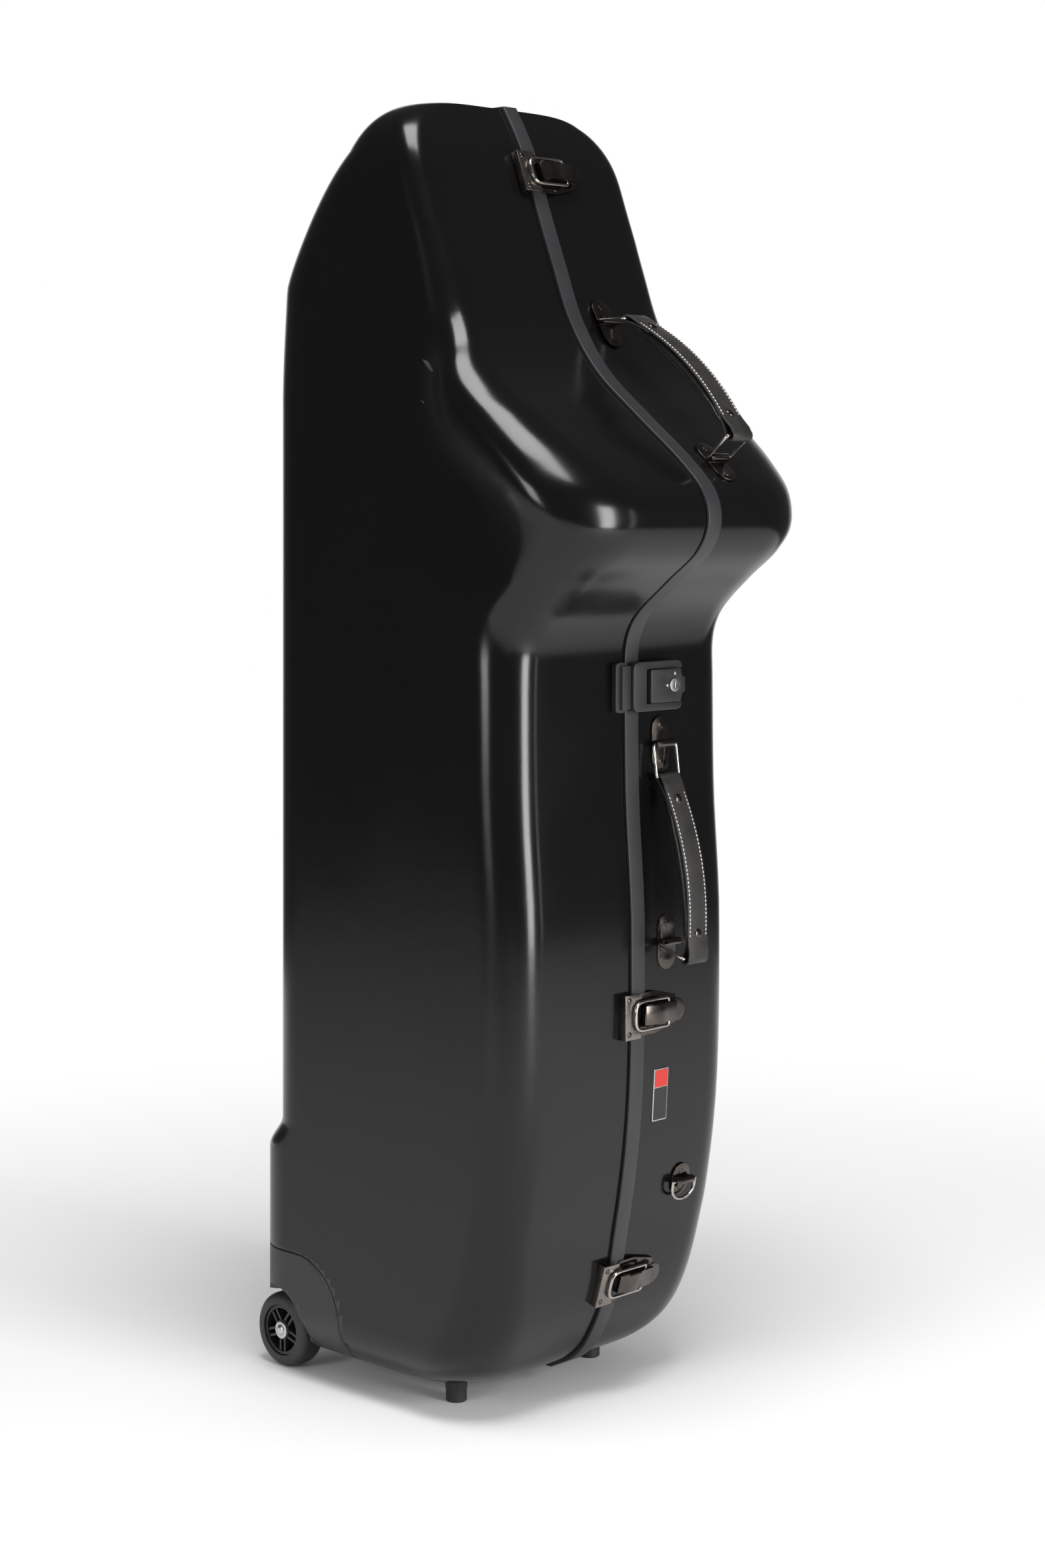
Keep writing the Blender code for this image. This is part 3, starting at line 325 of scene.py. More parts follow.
def half_shell(side):
    """Outer and inner skin of one half, joined round the seam by the laminate's edge."""
    bm = bmesh.new()
    loops = []
    for inset in (0.0, WALL):
        rows = []
        for z in RINGS:
            outline = section(z, inset, JOINT / 2)
            rows.append([bm.verts.new((side * x, y, lift(z, inset))) for x, y in outline])
        loft(rows, bm)
        bm.faces.new(rows[0])
        bm.faces.new(rows[-1])
        loops.append([row[0] for row in rows] + [row[-1] for row in reversed(rows)])
    count = len(loops[0])
    for k in range(count):
        n = (k + 1) % count
        bm.faces.new((loops[0][k], loops[0][n], loops[1][n], loops[1][k]))
    return bm


def prism(outline, low, high, at=Matrix()):
    """An outline in a frame's first two axes, pushed along its third."""
    bm = bmesh.new()
    rows = [[bm.verts.new(at @ Vector((u, v, h))) for u, v in outline] for h in (low, high)]
    for k in range(len(outline)):
        n = (k + 1) % len(outline)
        bm.faces.new((rows[0][k], rows[0][n], rows[1][n], rows[1][k]))
    bm.faces.new(rows[0][::-1])
    bm.faces.new(rows[1])
    return bm


HOUSING_X, HOUSING_FRONT_Y, HOUSING_TOP_Z, HOUSING_R = 0.086, 0.089, 0.115, 0.060
GROOVE, BELOW_Z, PAST_Y, PAST_X, BEND_STEPS = 0.0010, -0.01, 0.30, 0.20, 20


def housing_region(side, grow, material):
    """The bottom back corner block that belongs to a wheel housing."""
    front, top = HOUSING_FRONT_Y - grow + Y_FRAME, HOUSING_TOP_Z + grow
    corner = [(front + HOUSING_R * (1 - math.cos(a)), top - HOUSING_R * (1 - math.sin(a)))
              for a in (math.pi / 2 * k / BEND_STEPS for k in range(BEND_STEPS + 1))]
    outline = [(front, BELOW_Z)] + corner + [(PAST_Y, top), (PAST_Y, BELOW_Z)]
    at = Matrix(((0, 0, side, 0), (1, 0, 0, 0), (0, 1, 0, 0), (0, 0, 0, 1)))
    return place("region", prism(outline, HOUSING_X - grow, PAST_X, at), material)


gelcoat = surface("black_gelcoat", (0.0030, 0.0030, 0.0032), 0.165, bumps=[("noise", 260, 0.06, 0.0004),
                  ("noise", 34, 0.08, 0.0012)], smears=(9, 0.05), gloss=0.37)
for body, side in (("base", -1), ("lid", 1)):
    shell = place(f"{body}_moulded_shell", half_shell(side), gelcoat, 50)
    trimmed(shell, ("DIFFERENCE", housing_region(side, GROOVE, gelcoat)))
    fitted(shell, body, "shell", f"{body}_shell")

# Seam band and rim.
# A satin charcoal band is bonded round the lid's edge and covers the joint. Inside it, an
# aluminium rim on the base enters the lid, and a rubber strip behind it keeps dust out.
BAND_W, BAND_GLUE, BAND_OUT, BAND_EDGE, BAND_STEPS = 0.018, 0.0001, 0.0025, 0.0009, 4


def seam_strip(profile):
    """A profile of (X, depth) carried round the whole seam."""
    bm = bmesh.new()
    lines = []
    for x, inset in profile:
        up = [(front_y(z) + inset + Y_FRAME, lift(z, inset)) for z in RINGS]
        down = [(back_y(z) - inset + Y_FRAME, lift(z, inset)) for z in reversed(RINGS)]
        lines.append([bm.verts.new((x, y, z)) for y, z in up + down])
    for here, there in zip(lines, lines[1:] + lines[:1]):
        for k in range(len(here)):
            n = (k + 1) % len(here)
            bm.faces.new((here[k], here[n], there[n], there[k]))
    return bm


def band_profile(left, right, low, high, edge):
    turn = [math.pi / 2 * k / BAND_STEPS for k in range(BAND_STEPS + 1)]
    points = [(left, -low)]
    points += [(left + edge * (1 - math.cos(a)), -(high - edge * (1 - math.sin(a)))) for a in turn]
    for a in reversed(turn):
        points.append((right - edge * (1 - math.cos(a)), -(high - edge * (1 - math.sin(a)))))
    return points + [(right, -low)]


satin_band = surface("satin_band", (0.020, 0.020, 0.022), 0.40, bumps=[("noise", 700, 0.12, 0.0002)],
                     smears=(30, 0.1))
outline = band_profile(JOINT / 2, BAND_W, BAND_GLUE, BAND_OUT, BAND_EDGE)
fitted(place("seam_band", seam_strip(outline), satin_band, 50), "lid", "band", "lid_seam_band")
rim_alloy = surface("rim_alloy", (0.45, 0.45, 0.46), 0.35, 1.0, bumps=[("noise", 500, 0.1, 0.0002)])
repainted(rim_alloy, "base_rim")
soft_rubber = surface("soft_rubber", (0.016, 0.016, 0.016), 0.62, bumps=[("noise", 900, 0.2, 0.0003)],
                      smears=(60, 0.15))
repainted(soft_rubber, "rim_seal", "base_foot", "lid_foot")

# Linings.
# Each half is lined with 10 mm of foam under short charcoal plush, glued to the laminate.
plush = surface("plush", (0.028, 0.028, 0.032), 0.95, bumps=[("noise", 1400, 0.6, 0.0010),
                ("noise", 90, 0.3, 0.0015)], mottle=(60, (0.045, 0.045, 0.050)))
repainted(plush, "base_lining", "lid_lining")

# Wheel housings.
# Injection-moulded black corner blocks carry the wheels. Each fills the shell's bottom
# back corner flush with its skin, in a satin grain, and an arch leaves its wheel in view.
WHEEL_R, WHEEL_W, WHEEL_Y, WHEEL_FACE_X, WELL_R = 0.034, 0.026, 0.185, 0.135, 0.0395
AXLE_R, ARCH_SHIFT, HOUSING_H = 0.004, 0.007, 0.30
FAR_X, FAR_Y, UNDER_Z, FAR_OUT = 0.30, 0.33, -0.02, 0.08


def circle(radius, count, center=(0.0, 0.0)):
    return [(center[0] + radius * math.cos(a), center[1] + radius * math.sin(a))
            for a in (math.tau * k / count for k in range(count))]


def box(low, high, at=Matrix()):
    outline = [(low[0], low[1]), (high[0], low[1]), (high[0], high[1]), (low[0], high[1])]
    return prism(outline, low[2], high[2], at)


def whole_body():
    """The outer skin of the closed case as one block."""
    bm = bmesh.new()
    rows = []
    for z in [z for z in RINGS if z < HOUSING_H]:
        outline = section(z, 0.0, 0.0)
        loop = outline + [(-x, y) for x, y in reversed(outline[1:-1])]
        rows.append([bm.verts.new((x, y, lift(z, 0.0))) for x, y in loop])
    for low, high in zip(rows, rows[1:]):
        for j in range(len(low)):
            n = (j + 1) % len(low)
            bm.faces.new((low[j], low[n], high[n], high[j]))
    bm.faces.new(rows[0])
    bm.faces.new(rows[-1])
    return bm


def side_frame(side, x, y, z):
    """Third axis points out of the case's side."""
    return Matrix(((0, 0, side, x), (1, 0, 0, y), (0, side, 0, z), (0, 0, 0, 1)))


moulding = surface("grained_moulding", (0.017, 0.017, 0.018), 0.38, bumps=[("noise", 1500, 0.25, 0.0002)],
                   smears=(40, 0.1))


def drum(radius, low, high, at, center=(0.0, 0.0), count=64):
    return place("cut", prism(circle(radius, count, center), low, high, at), moulding)


def open_side(side, from_x, front, top):
    """A block that opens the housing to its side, back and bottom."""
    left, right = sorted((side * from_x, side * FAR_X))
    return place("cut", box((left, front, UNDER_Z), (right, FAR_Y, top)), moulding)


for body, side in (("base", -1), ("lid", 1)):
    center_y = WHEEL_Y + Y_FRAME
    at = side_frame(side, side * WHEEL_FACE_X, center_y, WHEEL_R)
    wall_x = WHEEL_FACE_X - WHEEL_W - 4 * JOINT
    front, arch = center_y - WELL_R, (-ARCH_SHIFT, side * ARCH_SHIFT)
    housing = place(f"{body}_corner_housing", whole_body(), moulding, 45)
    trimmed(housing, ("INTERSECT", housing_region(side, 0.0, moulding)),
            ("DIFFERENCE", drum(WELL_R, wall_x - WHEEL_FACE_X, FAR_OUT, at)),
            ("DIFFERENCE", open_side(side, wall_x, front, WHEEL_R)),
            ("DIFFERENCE", drum(WELL_R, 0.0, FAR_OUT, at, arch)),
            ("DIFFERENCE", open_side(side, wall_x + WHEEL_W, front - ARCH_SHIFT, WHEEL_R + ARCH_SHIFT)),
            ("DIFFERENCE", drum(AXLE_R + JOINT, -FAR_OUT, 0.0, at, count=32)))
    fitted(housing, body, "moulding", f"{body}_wheel_housing")

# Wheels.
# Polyurethane tyres with round shoulders are cast on nylon hubs with five pairs of thin
# spokes. They turn on bolts whose heads and washers are bright zinc plate.
HUB_R, CORE_R, SPOKES, RIB_GAP, RIB_W = 0.023, 0.009, 5, 0.0030, 0.0022
SHOULDER_R, FACE_IN, HUB_RIM, HUB_EASE_R, CORE_EASE_R = 0.0065, 0.0015, 0.0030, 0.0004, 0.0006
RIB_SINK, RIB_IN, RIB_DEPTH_SHARE = 0.0015, 0.001, 0.8
WASHER_R, WASHER_HOLE_R, WASHER_IN, WASHER_OUT = 0.0078, 0.0012, 0.0013, 0.0002
BOLT_R, BOLT_H = 0.0050, 0.0022


def turned(profile, at, count=72):
    """A closed profile of (radius, out) turned round a frame's third axis."""
    bm = bmesh.new()
    rows = []
    for r, out in profile:
        rows.append([bm.verts.new(at @ Vector((r * c, r * s, out))) for c, s in circle(1.0, count)])
    for low, high in zip(rows, rows[1:] + rows[:1]):
        for j in range(count):
            n = (j + 1) % count
            bm.faces.new((low[j], low[n], high[n], high[j]))
    return bm


def gathered(*parts):
    """Several closed forms in one mesh."""
    whole = bmesh.new()
    for part in parts:
        bmesh.ops.recalc_face_normals(part, faces=part.faces[:])
        mesh = bpy.data.meshes.new("part")
        part.to_mesh(mesh)
        part.free()
        whole.from_mesh(mesh)
        bpy.data.meshes.remove(mesh)
    return whole


def ring_profile(inner, outer, low, high, ease_r, steps=6):
    """Section of a ring whose outer edges are rounded."""
    turn = [math.pi / 2 * k / steps for k in range(steps + 1)]
    points = [(inner, low)]
    points += [(outer - ease_r * (1 - math.sin(a)), low + ease_r * (1 - math.cos(a))) for a in turn]
    points += [(outer - ease_r * (1 - math.cos(a)), high - ease_r * (1 - math.sin(a))) for a in turn]
    return points + [(inner, high)]


def dome(radius, height, at, count=24, rings=5):
    """A rivet or screw head that stands on a frame's first two axes."""
    bm = bmesh.new()
    rows = []
    for k in range(rings):
        a = math.pi / 2 * k / rings
        rows.append([bm.verts.new(at @ Vector((radius * math.cos(a) * c, radius * math.cos(a) * s,
                                               height * math.sin(a))))
                     for c, s in circle(1.0, count)])
    for low, high in zip(rows, rows[1:]):
        for j in range(count):
            n = (j + 1) % count
            bm.faces.new((low[j], low[n], high[n], high[j]))
    bm.faces.new(rows[0][::-1])
    tip = bm.verts.new(at @ Vector((0, 0, height)))
    for j in range(count):
        bm.faces.new((rows[-1][j], rows[-1][(j + 1) % count], tip))
    return bm


tyre_rubber = surface("tyre", (0.012, 0.012, 0.0125), 0.36, bumps=[("noise", 800, 0.12, 0.0002)],
                      mottle=(70, (0.024, 0.0235, 0.023)), smears=(50, 0.2))
nylon = surface("hub_nylon", (0.016, 0.016, 0.017), 0.36, bumps=[("noise", 1200, 0.15, 0.0002)])
zinc = surface("zinc_plate", (0.66, 0.67, 0.66), 0.24, 1.0, mottle=(300, (0.52, 0.53, 0.50)),
               smears=(200, 0.15))
for body, side in (("base", -1), ("lid", 1)):
    at = side_frame(side, side * WHEEL_FACE_X, WHEEL_Y + Y_FRAME, WHEEL_R)
    tyre = turned(ring_profile(HUB_R + JOINT, WHEEL_R, -WHEEL_W, 0.0, SHOULDER_R), at)
    fitted(place(f"{body}_cast_tyre", tyre, tyre_rubber, 40), f"{body}_wheel", "tyre", f"{body}_wheel_tyre")
    forms = [turned(ring_profile(HUB_R - HUB_RIM, HUB_R, -WHEEL_W, -FACE_IN, HUB_EASE_R, 2), at),
             turned(ring_profile(AXLE_R + JOINT, CORE_R, -WHEEL_W, -FACE_IN, CORE_EASE_R, 2), at)]
    for k in range(2 * SPOKES):
        turn = Matrix.Rotation(math.tau * (k // 2) / SPOKES + math.pi / 2, 4, "Z")
        mid = RIB_GAP * (1 if k % 2 else -1)
        forms.append(box((CORE_R - RIB_SINK, mid - RIB_W / 2, -WHEEL_W * RIB_DEPTH_SHARE),
                         (HUB_R - RIB_SINK, mid + RIB_W / 2, -FACE_IN - RIB_IN), at @ turn))
    hub = place(f"{body}_spoked_hub", gathered(*forms), nylon, 40)
    fitted(hub, f"{body}_wheel", "moulding", f"{body}_wheel_hub")
    washer = ring_profile(WASHER_HOLE_R, WASHER_R, -WASHER_IN, -WASHER_OUT, HUB_EASE_R, 2)
    head = gathered(turned(washer, at),
                    dome(BOLT_R, BOLT_H, at @ Matrix.Translation((0, 0, -JOINT))),
                    prism(circle(AXLE_R - JOINT, 24), -WHEEL_W - RIB_IN, -FACE_IN, at))
    fitted(place(f"{body}_zinc_bolt", head, zinc, 40), body, "zinc", f"{body}_wheel_bolt")

# Black-nickel hardware.
# Latches, hinges, brackets, loops and the ring are pressed steel with a polished
# black-nickel plate. They are riveted through the laminate, their screws show.
nickel = surface("black_nickel", (0.115, 0.100, 0.090), 0.15, 1.0, bumps=[("noise", 420, 0.06, 0.0002)],
                 mottle=(50, (0.085, 0.074, 0.066)), smears=(120, 0.10))
# The strikes and the wire parts carry the same black-nickel plate in lighter copies: painted light for how they
# catch the lamps, and for the wire parts a painted highlight.
nickel_painted_lighter = surface("nickel_painted_lighter", (0.27, 0.242, 0.222), 0.20, 1.0,
                       bumps=[("noise", 420, 0.06, 0.0002)], mottle=(50, (0.21, 0.188, 0.170)), smears=(120, 0.10))
nickel_painted_highlight = surface("nickel_painted_highlight", (0.50, 0.465, 0.43), 0.14, 1.0, bumps=[("noise", 420, 0.05, 0.0002)],
                      mottle=(60, (0.40, 0.37, 0.34)), smears=(120, 0.10))
EASE_R, EASE_ANGLE = 0.00040, math.radians(32)
BAIL_PIVOT_X, BAIL_OUT = 0.042, 0.0099
STRIKE_SCREW_X, STRIKE_SCREW_Z, STRIKE_PROUD, SCREW_R, SCREW_H = -0.0085, 0.015, 0.008, 0.0026, 0.0011
MERGE, FLAT_ANGLE = 1e-6, math.radians(1.0)
joints = {joint["name"]: joint for joint in frame["joints"]}


def eased(name, material, slot, radius=EASE_R):
    """The CAD piece with its sharp edges rounded, as pressing and tumbling leave them."""
    bm = bmesh.new()
    bm.from_mesh(nodes[name].data)
    bmesh.ops.remove_doubles(bm, verts=bm.verts[:], dist=MERGE)
    bmesh.ops.dissolve_limit(bm, angle_limit=FLAT_ANGLE, verts=bm.verts[:], edges=bm.edges[:])
    sharp = [e for e in bm.edges if len(e.link_faces) == 2 and e.calc_face_angle(0.0) > EASE_ANGLE]
    bmesh.ops.bevel(bm, geom=sharp, offset=radius, segments=3, profile=0.5, affect="EDGES",
                    clamp_overlap=True)
    bmesh.ops.triangulate(bm, faces=[f for f in bm.faces if len(f.verts) > 4])
    bm.transform(nodes[name].matrix_world)
    piece = place(f"{name}_finished", bm, material, 40)
    return fitted(piece, body_of(nodes[name])[0], slot, name)


def latch_frame(name):
    """A latch's frame on the front face: X, up the face, outwards, from its bail's joint."""
    swing = joints[f"latch_bail_{name}_swing"]
    up = Vector(swing["axis"]).normalized()
    up = -up if up.z < 0 else up
    out = Vector((1, 0, 0)).cross(up)
    origin = Vector(swing["pos_m"]) - Vector((BAIL_PIVOT_X, 0, 0)) - out * BAIL_OUT
    return Matrix.Translation(origin) @ Matrix((Vector((1, 0, 0)), up, out)).transposed().to_4x4()


# Brackets, hinges and latches keep the plate's own dark colour; strikes and wire parts get its lighter copies with
# painted light.
for name in list(nodes):
    if "strike" in name:
        eased(name, nickel_painted_lighter, "gunmetal")
    elif any(word in name for word in ("bail", "_loop_", "hanging_ring")):
        eased(name, nickel_painted_highlight, "gunmetal")
    elif any(word in name for word in ("hinge", "latch", "bracket")):
        eased(name, nickel, "gunmetal")
for name in ("bottom", "middle", "top"):
    at = latch_frame(name)
    spots = [at @ Matrix.Translation((STRIKE_SCREW_X, s * STRIKE_SCREW_Z, STRIKE_PROUD)) for s in (-1, 1)]
    screws = gathered(*[dome(SCREW_R, SCREW_H, spot) for spot in spots])
    fitted(place(f"strike_screws_{name}", screws, nickel, 60), "base", "gunmetal")

# Key lock and badge.
# A black ABS housing and lever carry a brushed steel key cylinder. Two small white marks
# show the key's positions. The badge is a steel frame round a black and a red field.
steel = surface("brushed_steel", (0.52, 0.52, 0.51), 0.26, 1.0, bumps=[("noise", 900, 0.1, 0.0001)],
                smears=(150, 0.12))
white_ink = surface("white_ink", (0.70, 0.70, 0.69), 0.5, bumps=[("noise", 1500, 0.1, 0.0001)])
black_enamel = surface("black_enamel", (0.008, 0.008, 0.008), 0.22, bumps=[("noise", 900, 0.05, 0.0001)])
red_enamel = surface("red_enamel", (0.50, 0.022, 0.014), 0.28, bumps=[("noise", 900, 0.05, 0.0001)])
LOCK_EASE_R, MARK_T, MARK_SINK = 0.0009, 0.00015, -0.0006
BADGE_EDGE, BADGE_SPLIT, FIELD_GAP, ENAMEL_SINK, ENAMEL_T = 0.0012, 0.30, 0.0004, -0.0002, 0.0003


def facing(name):
    """Frame and half size of a CAD node's largest face: X, up the case, outwards."""
    mesh = nodes[name].data
    face = max(mesh.polygons, key=lambda p: (round(p.area, 8), -p.center.y))
    out = -face.normal if face.normal.y > 0 else face.normal.copy()
    up = out.cross(Vector((1, 0, 0))).normalized()
    spots = [v.co for v in mesh.vertices]
    axes = (Vector((1, 0, 0)), up, out)
    spans = [(min(v.dot(axis) for v in spots), max(v.dot(axis) for v in spots)) for axis in axes]
    origin = axes[0] * sum(spans[0]) / 2 + up * sum(spans[1]) / 2 + out * spans[2][1]
    at = nodes[name].matrix_world @ Matrix.Translation(origin)
    return (at @ Matrix(axes).transposed().to_4x4()), [(high - low) / 2 for low, high in spans[:2]]


for name in ("lock_catch", "lock_housing", "lock_lever"):
    eased(name, moulding, "moulding", LOCK_EASE_R)
eased("key_cylinder", steel, "steel")
eased("badge_plate", steel, "steel")
at, _ = facing("key_cylinder")
bars = [((-0.0120, -0.0004), (-0.0095, 0.0004)), ((-0.0104, -0.0012), (-0.0095, 0.0012)),
        ((-0.0012, 0.0094), (0.0012, 0.0102)), ((-0.0004, 0.0094), (0.0004, 0.0118))]
marks = gathered(*[box((*low, MARK_SINK), (*high, MARK_T), at) for low, high in bars])
fitted(place("lock_marks", marks, white_ink, 40), "lock_lever", "moulding")
at, (wide, tall) = facing("badge_plate")
wide, tall = wide - BADGE_EDGE, tall - BADGE_EDGE
split = tall * BADGE_SPLIT
for name, low, high, enamel in (("black", -tall, split - FIELD_GAP, black_enamel),
                                ("red", split + FIELD_GAP, tall, red_enamel)):
    field = box((-wide, low, ENAMEL_SINK), (wide, high, ENAMEL_T), at)
    fitted(place(f"badge_{name}_field", field, enamel, 40), "lid", "steel")

# Carrying handles.
# A flat bridle-leather strap is folded round a wire loop at each end and riveted. Cream
# thread is sewn along both edges. Its padded underside is glossy leather over foam.
LOOP_WIRE_R, LOOP_L, EYE_SPAN, STRAP_BOW, BOW_POWER = 0.0016, 0.030, 0.162, 0.014, 0.8
STRAP_HALF, STRAP_PLY, STRAP_EDGE_R, EYE_PLAY, EYE_SLACK = 0.013, 0.00175, 0.0005, 0.0003, 0.0019
TAIL = [(0.030, 0.0), (0.022, 0.0), (0.014, 0.25), (0.008, 0.6), (0.004, 0.9)]
EYE_STEPS, MIDDLE_FROM, MIDDLE_STEPS = 12, 0.20, 40
STITCH_IN, STITCH_PROUD, STITCH_FROM, STITCH_STEPS = 0.0022, 0.0001, 0.055, 60
RIVET_SHARE, RIVET_R, RIVET_H = 0.13, 0.0046, 0.0019
PAD_T, PAD_TIP_T, PAD_HALF, PAD_FROM, PAD_STEPS, PAD_SIDES = 0.013, 0.0035, 0.011, 0.075, 60, 28
PAD_SWELL, PAD_SPREAD, PAD_GAP, TUCK_FROM, TUCK_RUN = 0.45, 1.15, 0.0002, 0.10, 0.08


def bow(share, extra=0.0):
    rise = math.sin(math.pi * min(max(share, 0.0), 1.0))**BOW_POWER
    return (EYE_SPAN * share, STRAP_BOW * rise + extra)


def handle_frame(name):
    """From eye to eye, away from the case, across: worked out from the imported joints."""
    eyes = {j["name"]: Vector(j["pos_m"]) for j in frame["joints"]}
    eye_a = eyes[f"{name}_handle_swing"]
    low, top = eyes[f"{name}_loop_bottom_lift"], eyes[f"{name}_loop_top_lift"]
    out = (low - top).normalized().cross(Vector((1, 0, 0)))
    # the lower eye lies a strap's length from the upper eye and a loop's length from its barrel
    toward = low - eye_a
    d = toward.length
    reach = (EYE_SPAN**2 - LOOP_L**2 + d * d) / (2 * d)
    side = math.sqrt(max(0.0, EYE_SPAN**2 - reach**2))
    unit = toward.normalized()
    across = unit.cross(Vector((1, 0, 0)))
    eye_b = eye_a + unit * reach + across * side
    along = (eye_b - eye_a).normalized()
    width = along.cross(out).normalized()
    return Matrix.Translation(eye_a) @ Matrix((along, width.cross(along), width)).transposed().to_4x4()


def swept(path, half, thick, at, edge=STRAP_EDGE_R):
    """A leather ply: a path in the frame's first two axes with a rounded strap section."""
    bm = bmesh.new()
    rows = []
    for k, (u, v) in enumerate(path):
        before, after = path[max(k - 1, 0)], path[min(k + 1, len(path) - 1)]
        du, dv = after[0] - before[0], after[1] - before[1]
        size = math.hypot(du, dv)
        nu, nv = -dv / size, du / size
        ring = []
        for s, h in ((-1, 1), (1, 1), (1, -1), (-1, -1)):
            for q in range(3):
                a = math.pi / 4 * q
                ca, sa = (math.cos(a), math.sin(a)) if s * h < 0 else (math.sin(a), math.cos(a))
                w = s * (half - edge * (1 - ca))
                d = h * (thick / 2 - edge * (1 - sa))
                ring.append((u + nu * d, v + nv * d, w))
        rows.append([bm.verts.new(at @ Vector(p)) for p in ring])
    for here, there in zip(rows, rows[1:]):
        for j in range(12):
            n = (j + 1) % 12
            bm.faces.new((here[j], here[n], there[n], there[j]))
    bm.faces.new(rows[0])
    bm.faces.new(rows[-1])
    return bm


def strap_path():
    """From one tail, round the eye, along the top, round the other eye to its tail."""
    fold = LOOP_WIRE_R + EYE_PLAY + STRAP_PLY / 2
    points = []
    for eye, r, way in ((0.0, fold, 1), (1.0, fold + EYE_SLACK, -1)):
        part = []
        for u, grow in TAIL:
            share = eye + way * u / EYE_SPAN
            part.append(bow(share, -STRAP_PLY / 2 - (r - STRAP_PLY / 2) * grow))
        turn = [math.pi * k / EYE_STEPS for k in range(EYE_STEPS + 1)]
        base = bow(eye)
        part += [(base[0] - way * r * math.sin(a), base[1] - r * math.cos(a)) for a in turn]
        for u, grow in reversed(TAIL):
            share = eye + way * u / EYE_SPAN
            part.append(bow(share, STRAP_PLY / 2 + (r - STRAP_PLY / 2) * grow))
        points.append(part)
    run = (1 - 2 * MIDDLE_FROM) / MIDDLE_STEPS
    middle = [bow(MIDDLE_FROM + run * k, STRAP_PLY / 2) for k in range(MIDDLE_STEPS + 1)]
    return points[0] + middle + points[1][::-1]


def thread_tree():
    """Lays short thread stitches along a path at an even pitch."""
    tree = bpy.data.node_groups.new("saddle_stitches", "GeometryNodeTree")
    sock = tree.interface.new_socket
    sock(name="Path", in_out="INPUT", socket_type="NodeSocketGeometry")
    for name, value in (("Pitch", 0.0036), ("Stitch length", 0.0026), ("Thread radius", 0.00050)):
        sock(name=name, in_out="INPUT", socket_type="NodeSocketFloat").default_value = value
    sock(name="Thread", in_out="INPUT", socket_type="NodeSocketMaterial")
    sock(name="Stitches", in_out="OUTPUT", socket_type="NodeSocketGeometry")
    new, link = tree.nodes.new, tree.links.new
    given, result = new("NodeGroupInput"), new("NodeGroupOutput")
    curve = new("GeometryNodeMeshToCurve")
    link(given.outputs["Path"], curve.inputs["Mesh"])
    even = new("GeometryNodeResampleCurve")
    even.mode = "LENGTH"
    link(curve.outputs["Curve"], even.inputs["Curve"])
    link(given.outputs["Pitch"], even.inputs["Length"])
    stitch = new("GeometryNodeMeshUVSphere")
    stitch.inputs["Segments"].default_value = 8
    stitch.inputs["Rings"].default_value = 6
    stitch.inputs["Radius"].default_value = 1.0
    shape = new("ShaderNodeCombineXYZ")
    half = new("ShaderNodeMath")
    half.operation = "MULTIPLY"
    half.inputs[1].default_value = 0.5
    link(given.outputs["Stitch length"], half.inputs[0])
    link(given.outputs["Thread radius"], shape.inputs["X"])
    link(given.outputs["Thread radius"], shape.inputs["Y"])
    link(half.outputs[0], shape.inputs["Z"])
    tangent = new("GeometryNodeInputTangent")
    aim = new("FunctionNodeAlignEulerToVector")
    aim.axis = "Z"
    link(tangent.outputs[0], aim.inputs["Vector"])
    sown = new("GeometryNodeInstanceOnPoints")
    link(even.outputs["Curve"], sown.inputs["Points"])
    link(stitch.outputs["Mesh"], sown.inputs["Instance"])
    link(aim.outputs["Rotation"], sown.inputs["Rotation"])
    link(shape.outputs["Vector"], sown.inputs["Scale"])
    real = new("GeometryNodeRealizeInstances")
    link(sown.outputs["Instances"], real.inputs["Geometry"])
    dress = new("GeometryNodeSetMaterial")
    link(real.outputs["Geometry"], dress.inputs["Geometry"])
    link(given.outputs["Thread"], dress.inputs["Material"])
    link(dress.outputs["Geometry"], result.inputs["Stitches"])
    return tree


def line_object(name, chains):
    bm = bmesh.new()
    for chain in chains:
        verts = [bm.verts.new(p) for p in chain]
        for a, b in zip(verts, verts[1:]):
            bm.edges.new((a, b))
    mesh = bpy.data.meshes.new(name)
    bm.to_mesh(mesh)
    bm.free()
    piece = bpy.data.objects.new(name, mesh)
    bpy.context.scene.collection.objects.link(piece)
    return piece


def with_tree(piece, tree, **values):
    modifier = piece.modifiers.new("rule", "NODES")
    modifier.node_group = tree
    sockets = {s.name: s.identifier for s in tree.interface.items_tree if s.in_out == "INPUT"}
    for name, value in values.items():
        modifier[sockets[name.replace("_", " ")]] = value
    return settled(piece)


def grip(at):
    """Soft padding under the strap: full in the middle, drawn in to a thin tip at each end."""
    bm = bmesh.new()
    rows = []
    for k in range(PAD_STEPS + 1):
        t = k / PAD_STEPS
        swell = math.sin(math.pi * t)**PAD_SWELL if 0 < k < PAD_STEPS else 0.0
        depth = PAD_TIP_T + (PAD_T - PAD_TIP_T) * swell
        half = PAD_HALF * (1 + min(1.0, swell * PAD_SPREAD)) / 2
        tuck = 1 - ease((0.5 - abs(t - 0.5) - TUCK_FROM) / TUCK_RUN)
        u, v = bow(PAD_FROM + (1 - 2 * PAD_FROM) * t, -PAD_GAP - STRAP_PLY * tuck)
        ring = []
        for j in range(PAD_SIDES):
            a = math.tau * (j + 0.5) / PAD_SIDES
            c, s = math.cos(a), math.sin(a)
            down = depth / 2 * (1 + math.copysign(abs(c)**0.75, c))
            ring.append((u, v - down, half * math.copysign(abs(s)**0.8, s)))
        rows.append([bm.verts.new(at @ Vector(p)) for p in ring])
    for here, there in zip(rows, rows[1:]):
        for j in range(PAD_SIDES):
            n = (j + 1) % PAD_SIDES
            bm.faces.new((here[j], here[n], there[n], there[j]))
    bm.faces.new(rows[0])
    bm.faces.new(rows[-1])
    return bm


